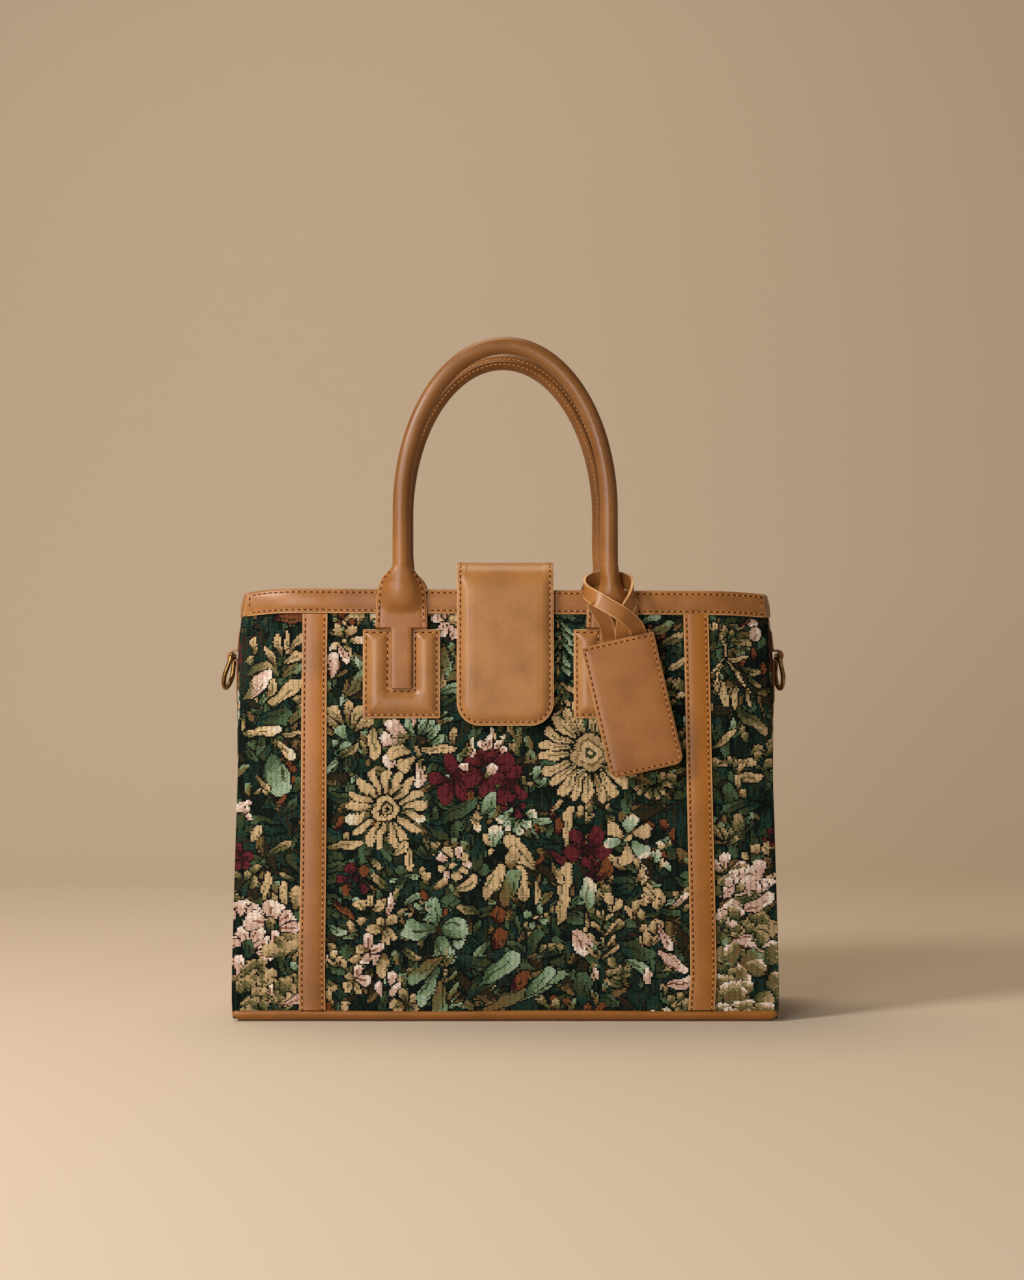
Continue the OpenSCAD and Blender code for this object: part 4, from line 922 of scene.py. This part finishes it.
TONGUE = (-66.7, -66.5, -60, -45, -30)
for name, back, nodes in (("front_grip", False, ["front_handle", "front_left_tab", "front_right_tab"]),
                          ("back_grip", True, ["back_handle", "back_left_tab", "back_right_tab"])):
    ends = [[], []]
    for v in TONGUE + (-26.5, -26.2, -26.1):
        for end in ends:
            x, n = tongue_ring(v)
            end.append((v, 0.9 * x, 0.85 * n))
    for v in np.concatenate([[-25.9, -25.8, -25.6], np.linspace(-25.2, TAB_TOP, 44)]):
        for end, tied in zip(ends, (False, not back)):
            end.append((v, *tab_ring(v, tied)))
    across, out = grip_ring()
    top_across, top_out = tab_ring(TAB_TOP)
    for k, v in enumerate(np.linspace(21, 55, 15)):
        m = min(1, k / 3)
        for end in ends:
            end.append((v, across * m + top_across * (1 - m), out * m + top_out * (1 - m)))
    rings = [face(-(HANDLE_AT + x) + sway(v, back), n, v, back) for v, x, n in ends[0]]
    settled = sway(ARCH_FOOT, back)
    for t in np.linspace(math.pi, 0, 90):
        x, v, way = arch(t)
        rings.append(face(x + settled + across * way[0], out, v + across * way[1], back))
    rings += [face(HANDLE_AT + lean(v) + sway(v, back) + x, n, v, back) for v, x, n in reversed(ends[1])]
    parts = [tube(rings, shaded_tan)]
    for side in (-1, 1):
        rings = []
        for v in (TONGUE + (-26, -24, -22.5, -21.5, -20.5))[::-side]:
            x, n = tongue_ring(v)
            rings.append(face(side * (HANDLE_AT + x) + (side > 0) * lean(v), n, v, back))
        parts.append(tube(rings, shaded_tan))
        tied = side > 0 and not back
        climb = np.linspace(-24, -2 if tied else 13.5, 40)
        middle = side * HANDLE_AT + (side > 0) * lean(climb) + sway(climb, back)
        for hand in (-1, 1):
            for inset, lift, sew in ((2, 0.1, stitches), (0.2, -0.4, edging)):
                high = []
                for v in climb:
                    x, n = np.array(tab_ring(v, tied))[:, 20::-1]
                    high.append(np.interp(tab_half(v, tied) - inset, x, n))
                x = middle + hand * (tab_half(climb, tied) - inset)
                parts += sew(face(x, np.array(high) + lift, climb, back), facing(back))
    for shift in (-1.9, 1.9):
        seam = []
        for t in np.linspace(math.pi, 0, 200):
            x, v, way = arch(t)
            aside = turned(np.array([way[0], 0, way[1]]), back) * shift
            seam.append(face(x + settled, 2.2, v, back) + aside)
        parts += stitches(seam, -facing(back), 3.4, 2.4, 0.3, False)
    made = piece(name, parts, None, nodes)
    low, high = face(0, 8, 6, back) * MM, face(0, 8, 20, back) * MM
    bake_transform(made)

# Patches
# U-shaped leather patches with a foam pad inside, stitched round every edge, so
# the edge is flat and the middle stands up like a small pillow.


def pad(depth, edge, top, border=2.1):
    """Height of a padded piece at a depth in from its edge: thin edge, stitched groove, pillow."""
    pillow = top - edge
    stops = [0, 0.3, 0.8, border - 0.8, border, border + 0.9, border + 2.6, border + 5, border + 9]
    return np.interp(depth, stops, [edge * 0.55, edge * 0.85, edge, edge * 1.08, edge * 0.92, edge * 1.3,
                                    edge + 0.62 * pillow, edge + 0.92 * pillow, top])


def finely(*marks):
    """Marks with short steps near each and longer ones between."""
    points = []
    for a, b in zip(marks[:-1], marks[1:]):
        t = np.linspace(0, 1, max(6, int((b - a) / 0.95)))
        points += list(a + (b - a) * (t - np.sin(2 * np.pi * t) / (2 * np.pi) * 0.75))[:-1]
    return np.array(points + [marks[-1]])


PATCH_HALF, PATCH_TOP, PATCH_FOOT = 26.75, -25.6, -87.5
SLOT_HALF, SLOT_FOOT = 7.8, -67


def u_legs(half, top, foot, slot, slot_foot, steps):
    """The straight legs of a line round a patch and its slot, each as x and v."""
    line = [(-half, top), (-half, foot), (half, foot), (half, top), (slot, top), (slot, slot_foot),
            (-slot, slot_foot), (-slot, top), (-half, top)]
    return [np.linspace(a, b, steps).T for a, b in zip(line[:-1], line[1:])]


xs, vs = finely(-PATCH_HALF, -SLOT_HALF, SLOT_HALF, PATCH_HALF), finely(PATCH_FOOT, SLOT_FOOT, PATCH_TOP)
x, v = np.meshgrid(xs, vs)
deep = np.minimum(np.minimum(PATCH_HALF - np.abs(x), v - PATCH_FOOT), PATCH_TOP - v)
dx, dv = np.abs(x) - SLOT_HALF, SLOT_FOOT - v
slot = np.where((dx > 0) & (dv > 0), np.hypot(dx, dv), np.maximum(dx, dv))
puffed = pad(np.clip(np.minimum(deep, slot), 0, None), 1.9, 5.0)
kept = [f for f in grid(len(vs), len(xs))
        if not (abs(x.flat[f[0]] + x.flat[f[1]]) < 2 * SLOT_HALF and v.flat[f[0]] > SLOT_FOOT - 0.1)]
edges = {pair for f in kept for pair in zip(f, f[1:] + f[:1])}
used = sorted({i for f in kept for i in f})
new = {i: k for k, i in enumerate(used)}
rim = [(new[a], new[b]) for a, b in sorted(edges) if (b, a) not in edges]
wall = [[b, a, len(used) + a, len(used) + b] for a, b in rim]
faces = [[new[i] for i in f] for f in kept] + wall
for name, side, back in CORNERS:
    mid = side * HANDLE_AT + (side > 0) * TAG_PULL
    top, foot = (face(mid + x, n, v, back).reshape(-1, 3)[used] for n in (puffed, 0.3))
    parts = [(np.concatenate([top, foot]), faces, tan)]
    for leg_x, leg_v in u_legs(24.6, -27.8, -85.3, 9.7, -68.9, 30):
        parts += stitches(face(mid + leg_x, 2.05, leg_v, back), facing(back))
    for leg_x, leg_v in u_legs(26.5, -26, -87.2, 8, -67.2, 3):
        high = 2.1 if leg_v.min() == -26 else 1.35
        parts += edging(face(mid + leg_x, high, leg_v, back), facing(back))
    made = piece(name + "_pad", parts, "bag", [name + "_patch"])

# Closure flap
# One padded leather strap: sewn to the back panel, over the rim, across the mouth
# and down the front to a rounded end, with a stitched edge all round.


FLAP_HALF, FLAP_ROUND = 33.5, 16  # half its width, and the radius of its lower corners
FLAP_TOP, FLAP_BEND = 314, 15  # height of its top, and the radius of each bend there
FLAP_STRAIGHT = FLAP_HALF - FLAP_ROUND


def beside(side, n, v):
    """Place beside a panel as y and z: side -1 at the front, 1 at the back."""
    return face(0, n, v, side > 0)[1:]


up_way, over_way = np.array([-math.sin(LEAN), math.cos(LEAN)]), np.array([-1.0, 0])
down_way = up_way * [1, -1]
fold_at, tip = beside(1, 2.4, -23.7), beside(-1, 4.9, -92.7)
rear, fore = (p + way * (FLAP_TOP - p[1]) / way[1] for p, way in ((fold_at, up_way), (tip, down_way)))
route = [beside(1, 0.5, -65.7), beside(1, 0.8, -50), beside(1, 2.0, -32), fold_at]
for corner, into, away in ((rear, up_way, over_way), (fore, over_way, down_way)):
    angle = math.acos(np.dot(into, away))
    first = corner - into * FLAP_BEND * math.tan(angle / 2)
    hub = first + FLAP_BEND * np.array([-into[1], into[0]])
    arm = first - hub
    for a in np.linspace(0, angle, 14):
        c, s = math.cos(a), math.sin(a)
        route.append(hub + np.array([arm[0] * c - arm[1] * s, arm[0] * s + arm[1] * c]))
route = np.array(route + [tip])
along = distance_along(route)
whole = along[-1]
corner_at = whole - FLAP_ROUND


def on_route(s):
    """Place on the flap's route as y and z at a distance along it."""
    return np.stack([np.interp(np.clip(s, 0, whole), along, route[:, k]) for k in (0, 1)], -1)


def crest_at(z):
    """1 at the top of the flap, where it is thickest, falling to 0 below."""
    return np.exp(-(((z - FLAP_TOP) / 9) ** 4))


arc = np.linspace(0, math.pi / 2, 26)
marks = np.concatenate([finely(0, corner_at), whole - FLAP_ROUND * np.cos(arc)[1:]])
spots = on_route(marks)
ways = on_route(marks + 1.2) - on_route(marks - 1.2)
ways /= np.linalg.norm(ways, axis=1, keepdims=True)
outs = np.stack([ways[:, 1], -ways[:, 0]], -1)
past = np.clip(marks - corner_at, 0, FLAP_ROUND)
halves = FLAP_STRAIGHT + np.sqrt(np.clip(FLAP_ROUND**2 - past**2, 0, None))
x = halves[:, None] * (finely(-FLAP_HALF, FLAP_HALF) / FLAP_HALF)[None]
s = np.broadcast_to(marks[:, None], x.shape)
cx, cs = np.abs(x) - FLAP_STRAIGHT, s - corner_at
to_edge = np.minimum(FLAP_HALF - np.abs(x), whole - s)
deep = np.where((cx > 0) & (cs > 0), FLAP_ROUND - np.hypot(cx, cs), to_edge)
deep = np.clip(np.minimum(deep, s), 0, None)
crest = crest_at(spots[:, 1])[:, None] * np.clip(deep / 0.7, 0.55, 1)
lift = pad(deep, 2.1, 5.0, 2.3) * (1 - crest) + 5.6 * crest
lift = lift - 0.35 * np.exp(-((s - (whole - 110)) / 9) ** 2) * (deep > 6)
top, low = (np.stack([x, *(spots[:, None, k] + outs[:, None, k] * high for k in (0, 1))], -1)
            for high in (lift, 0 * lift))
parts = [tube(np.concatenate([top, low[:, ::-1]], 1), tan)]


def flap_spot(x, s):
    """Point and outward way of the flap's groove at x across and s along."""
    y, z = on_route(s).T
    oy, oz = (np.interp(s, marks, outs[:, k]) for k in (0, 1))
    high = 2.15 + 3.4 * crest_at(z)
    return np.stack([x, y + oy * high, z + oz * high], -1), np.stack([np.zeros_like(oy), oy, oz], -1)


def flap_border(inset, start, steps, tip_steps):
    """A line inside the flap's edge, from its sewn end to the middle of its tip, as x and s."""
    r, arc = FLAP_ROUND - inset, np.linspace(0, math.pi / 2, 16)
    return (np.concatenate([np.full(steps, FLAP_STRAIGHT + r), FLAP_STRAIGHT + r * np.cos(arc),
                            np.linspace(17, 0, tip_steps)]),
            np.concatenate([np.linspace(start, corner_at, steps), corner_at + r * np.sin(arc),
                            np.full(tip_steps, whole - inset)]))


SEWN_END = 3.2
border_x, border_s = flap_border(2.3, SEWN_END, 160, 10)
for hand in (-1, 1):
    parts += stitches(*flap_spot(hand * border_x, border_s))
parts += stitches(*flap_spot(np.linspace(-28, 28, 40), np.full(40, SEWN_END)))
border_x, border_s = flap_border(0.2, 0.3, 120, 6)
for hand in (-1, 1):
    spot, way = flap_spot(hand * border_x, border_s)
    parts += edging(spot - 0.7 * way, way)
made = piece("flap_strap", parts, None, ["closure_flap", "flap_anchor"])
low = np.array([0, 61.5, 270]) * MM
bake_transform(made)

# Ring tabs and rings
# Each gusset has a leather strap folded round the bar of an antiqued brass D-ring
# and stitched down; the ring swings on its bar.


def antique_brass():
    """Brass wire darkened by age, worn brighter in patches of a few millimetres."""
    made, tree, shader, place = material("antique brass")
    tone_factor = add(tree, "TexNoise", {"Vector": place, "Scale": 160, "Detail": 4}).outputs["Fac"]
    feed(tree, shader, {"Base Color": ramp(tree, tone_factor, (0.35, "#5E4826"), (0.7, "#B8955C")),
                        "Metallic": 1, "Roughness": 0.3})
    return made


brass = antique_brass()
BAR_HIGH, BAR_OUT = 253.9, 4.68  # the ring's bar, above the floor and out from the wall
WALL = np.array([191.5, 0, BAR_HIGH])
WIRE, RING_HALF, RING_CORNER, RING_STRAIGHT = 1.7, 11.6, 2.24, 12.4
EYE_IN, EYE_OUT = 3.1, 4.3
STRAP_SEAM = 1.35  # how far out the strap's stitches lie


def eye(r, last):
    """The strap's bend round the bar, as out and up."""
    return [(BAR_OUT + r * math.cos(a), r * math.sin(a)) for a in np.linspace(-last, last, 22)]


def lay(z):
    """How far the gusset swells past the wall at a height above the bar."""
    return gusset(0, np.clip((BAR_HIGH + z - PANEL_FOOT) / GUSSET_TALL, 0, 1))[..., 0] - WALL[0]


# The ring's wire as y and z: its bar, one side from the corner down, the bow, and the other side
down = [(RING_HALF + RING_CORNER * (math.sin(a) - 1), RING_CORNER * (math.cos(a) - 1))
        for a in np.linspace(0.2, math.pi / 2, 6)]
down += [(RING_HALF, z) for z in np.linspace(-3.5, -11.4, 5)]
bow_of_ring = [(RING_HALF * math.cos(a), -RING_STRAIGHT - RING_HALF * math.sin(a))
               for a in np.linspace(0, math.pi, 36)]
line = [(y, 0.0) for y in np.linspace(-9.3, 9.3, 14)] + down + bow_of_ring
line = np.array(line + [(-y, z) for y, z in reversed(down)])
tangent = np.roll(line, -1, 0) - np.roll(line, 1, 0)
tangent /= np.linalg.norm(tangent, axis=1, keepdims=True)
around = np.linspace(0, math.tau, 14, endpoint=False)
# The strap's section: down its outside from the upper end, then back up against the wall
outline = [(0.1, 17.3), (0.8, 17.5), (1.3, 16.9)] + [(1.3, z) for z in np.linspace(15, 8, 5)]
outline += [(1.5, 6.2), (2, 4.9)] + eye(EYE_OUT, 2)[::-1] + [(2, -4.9), (1.5, -6.2)]
outline += [(1.3, z) for z in np.linspace(-8, -33, 12)] + [(0.8, -34.6), (0.1, -34.7)]
outline += [(0.1, z) for z in np.linspace(-30, -5.5, 6)] + [(0.5, -4.4), (1.2, -3.6)] + eye(EYE_IN, 2.2)
outline += [(1.2, 3.6), (0.5, 4.4)] + [(0.1, z) for z in np.linspace(5.5, 15, 5)]
outline = np.array(outline)
# Across the strap: its edges are rounded over by a draw
STRAP_ROWS = ((-8.75, 0.45), (-8.5, 0.12), (-8, 0), (-4, 0), (0, 0), (4, 0), (8, 0), (8.5, 0.12),
              (8.75, 0.45))
rows = [(y + 0 * z, z) for y in (-6.6, 6.6) for z in (np.linspace(-31.5, -7, 20), np.linspace(7, 15.5, 8))]
rows += [(np.linspace(-6, 6, 8), np.full(8, z)) for z in (-31.5, 15.5, -7)]
for name, back, swing, yaw in (("right", False, 4, -0.15), ("left", True, 13, 0.15)):
    c, s = math.cos(math.radians(swing)), math.sin(math.radians(swing))
    rings = []
    for (y, z), (ty, tz) in zip(line, tangent):
        px, py = WIRE * np.sin(around), y + WIRE * np.cos(around) * tz
        pz = z - WIRE * np.cos(around) * ty
        leaned = np.stack([px * c - pz * s, py, px * s + pz * c], -1)
        leaned[:, 0] += yaw * leaned[:, 1] * np.clip(-leaned[:, 2] / 14 - 0.1, 0, 1)
        rings.append(turned(WALL + [BAR_OUT, 0, 0] + leaned, back))
    piece(name + "_d_ring", [tube(rings, brass, True)], name + "_ring", [name + "_ring"])
    rings = []
    for y, draw in STRAP_ROWS:
        shape = outline - draw * np.sign(outline - [2, 0]) * [1, 0.5]
        out, z = shape.T
        rings.append(turned(WALL + np.stack([out + lay(z), y + 0 * z, z], -1), back))
    parts = [tube(rings, tan)]
    outward = turned(np.array([1.0, 0, 0]), back)
    for y, z in rows:
        parts += stitches(turned(WALL + np.stack([STRAP_SEAM + lay(z), y, z], -1), back), outward, 3)
    piece(name + "_loop", parts, "bag", [name + "_ring_tab"])

# Luggage tag
# Two plain leather leaves sewn edge to edge, hanging from a narrow leather strap
# that is looped round the right leg of the front handle and crosses in front.


TAG_HALF, TAG_LONG, TAG_TILT = 25.7, 93, math.radians(13)
TAG_X, TAG_V = 77.8, -33.6  # the middle of the tag's upper edge
# From the edge of a tag leaf to its middle: inset and height
LEAF_SECTION = ((0.5, 0), (0.05, 0.25), (0, 0.8), (0.15, 1.3), (0.5, 1.6), (1.2, 1.72), (2.0, 1.45),
                (3.0, 1.75), (6, 1.95), (10, 2.05), (18, 2.1), (25, 2.1))


def leaf_loop(inset):
    """Outline of a tag leaf, drawn in by inset: square top corners, rounded lower ones."""
    loop = []
    corners = ((1, True, 1.0, 0), (-1, True, 1.0, 90), (-1, False, 6.0, 180), (1, False, 6.0, 270))
    for sx, top, r, first in corners:
        small = max(r - inset, 0.15)
        for a in np.radians(np.linspace(first, first + 90, 9)):
            px = sx * (TAG_HALF - inset - small) + small * math.cos(a)
            pz = (-inset - small if top else -TAG_LONG + inset + small) + small * math.sin(a)
            loop.append([px, pz])
    return np.array(loop)


def tag_spot(flat, n, curl=0.5):
    """Points of the tilted tag, n out from the panel and curling away from it towards the foot."""
    c, s = math.cos(TAG_TILT), math.sin(TAG_TILT)
    x, v = TAG_X + flat[:, 0] * c - flat[:, 1] * s, TAG_V + flat[:, 0] * s + flat[:, 1] * c
    return face(x, n + curl * (flat[:, 1] / TAG_LONG) ** 2, v)


def closed(loop):
    """A loop that ends where it starts."""
    return np.concatenate([loop, loop[:1]])


sewn = edging(tag_spot(closed(leaf_loop(0.2)), 11.1, 0.4), facing(False))
sewn += stitches(tag_spot(closed(leaf_loop(2.0)), 11.65), facing(False))
for name, node, n, thick, trim in (("tag_back", "tag_back_leaf", 8.4, 0.8, []),
                                   ("tag_front", "tag_front_leaf", 10.15, 1, sewn)):
    rings = [tag_spot(leaf_loop(inset), n + height * thick) for inset, height in LEAF_SECTION]
    piece(name, [tube(rings, shaded_tan)] + trim, "tag", [node])


def through(stops, steps=8):
    """A smooth line through rows of stops."""
    stops = np.array([stops[0], *stops, stops[-1]], float)
    line = []
    for a, b, c, d in zip(stops[:-3], stops[1:-2], stops[2:-1], stops[3:]):
        for t in np.linspace(0, 1, steps, endpoint=False):
            square, cube = 2 * a - 5 * b + 4 * c - d, 3 * b - a - 3 * c + d
            line.append(0.5 * (2 * b + (c - a) * t + square * t**2 + cube * t**3))
    return np.array(line + [stops[-2]])


def strap(stops, ways, width=9.4, thick=1.6):
    """Flat leather strap through stops, as x from the handle's leg, n and v, its cut edges pale as a painted
    highlight.
    """
    spots, looks = through(stops), through(ways)
    run = np.gradient(spots, axis=0)
    run /= np.linalg.norm(run, axis=1, keepdims=True)
    wide = np.cross(run, looks)
    wide /= np.linalg.norm(wide, axis=1, keepdims=True)
    deep = np.cross(wide, run)
    turn = np.linspace(0, 2 * np.pi, 20, endpoint=False)
    parts = []
    edge = thick / 2 + 0.1
    for shift, half, high, skin in ((0, width / 2, thick / 2, shaded_tan), (width / 2, 0.35, edge, edge_highlight),
                                    (-width / 2, 0.35, edge, edge_highlight)):
        a, b = shift + half * bow(np.cos(turn), 0.3), high * bow(np.sin(turn), 0.5)
        rings = []
        for p, w, d in zip(spots, wide, deep):
            spot = p + a[:, None] * w + b[:, None] * d
            rings.append(face(HANDLE_AT + spot[:, 0], spot[:, 1], spot[:, 2]))
        parts.append(tube(rings, skin))
    return parts


# The strap's loop round the leg, sloping down to the front, then its tails
turns = [(math.sin(a), math.cos(a)) for a in np.radians(range(90, 311, 20))]
ring = [[16.7 * s - 0.5, GRIP_OUT + 13.5 * c, 2.7 - 8.2 * c] for s, c in turns]
ring_ways = [[s, c, 0] for s, c in turns]
out = [0, 1, 0]
right = [[9.3, 5.6, -44.5], [9.3, 5.6, -32.5], [9.6, 13.5, -23], [12, 18.5, -13.5], [16, 15.5, -4.5]]
right_ways = [out, out, out, [0.4, 0.92, 0], [0.8, 0.6, 0]]
over = [[-6, 25.2, -7.8], [9, 25.2, -16.8], [18, 14.2, -23.9], [21, 5.6, -31], [22.5, 5.6, -40]]
left = [[-12, 23.6, -7.8], [-3, 14.2, -21.6], [-0.3, 5.6, -32.5], [-0.3, 5.6, -44.5]]
parts = strap(right + ring + over, right_ways + ring_ways + [out] * 5, 9.8) + strap(left, [out] * 4)
made = piece("tag_thong", parts, None, ["tag_strap"])
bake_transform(made)

# Hidden fittings
# The base board under the lining and the two magnets keep their CAD shape.

# Stage
# Pale seamless floor and backdrop, a soft key from the upper left front, a broad
# sheen from the front, a weak fill from the right and a warm light from above. The
# camera is level with the upper part of the bag.

SWEEP_AT, SWEEP_R = 1.0, 0.8  # where the floor turns up into the backdrop
backdrop = [(-3.0, 0.0), (SWEEP_AT, 0.0)]
backdrop += [(SWEEP_AT + SWEEP_R * math.sin(a), SWEEP_R - SWEEP_R * math.cos(a))
             for a in np.linspace(0.1, math.pi / 2, 16)]
backdrop += [(SWEEP_AT + SWEEP_R, 3.0)]
points = np.array([[x, y, z] for y, z in backdrop for x in (-4, 4)])
sweep = bpy.data.meshes.new("backdrop")
sweep.from_pydata(points.tolist(), [], grid(len(backdrop), 2))
sweep.polygons.foreach_set("use_smooth", [True] * len(sweep.polygons))
paper, tree, shader, _ = material("seamless paper")
feed(tree, shader, {"Base Color": linear("#D8C8B4"), "Roughness": 0.9})
sweep.materials.append(paper)
floor = bpy.data.objects.new("backdrop", sweep)
bpy.context.collection.objects.link(floor)


def lamp(name, spot, aim, size, power, colour):
    """A square soft light at a spot, aimed at a point."""
    data = bpy.data.lights.new(name, "AREA")
    data.size, data.energy, data.color = size, power, linear(colour)[:3]
    made = bpy.data.objects.new(name, data)
    made.location = spot
    away = np.array(spot) - np.array(aim)
    tip = math.acos(away[2] / np.linalg.norm(away))
    made.rotation_euler = (tip, 0, math.atan2(away[1], away[0]) + math.pi / 2)
    bpy.context.collection.objects.link(made)


lamp("key", (-1.3, -0.98, 1.2), (0, 0, 0.25), 0.45, 25, "#FFF6EC")
lamp("fill", (1.7, -1.6, 0.8), (0, 0, 0.25), 1.6, 2, "#FFF4E8")
lamp("sheen", (-0.85, -2.2, 0.6), (0, 0, 0.25), 0.7, 19, "#FFFAF4")
lamp("top", (-0.3, 0.5, 2.0), (0, 0, 0.3), 1.0, 14, "#FFE9CC")
world = bpy.data.worlds.new("studio")
world.use_nodes = True
sky = {"Color": linear("#F2E6D8"), "Strength": 0.13}
feed(world.node_tree, world.node_tree.nodes["Background"], sky)
bpy.context.scene.world = world

lens = bpy.data.cameras.new("camera")
lens.sensor_width, lens.lens = 36, 72.2
camera = bpy.data.objects.new("camera", lens)
camera.location = (0.0047, -1.85, 0.265)
camera.rotation_euler = (math.radians(90), 0, 0)
bpy.context.collection.objects.link(camera)
bpy.context.scene.camera = camera
bpy.context.scene.view_settings.view_transform = "Standard"
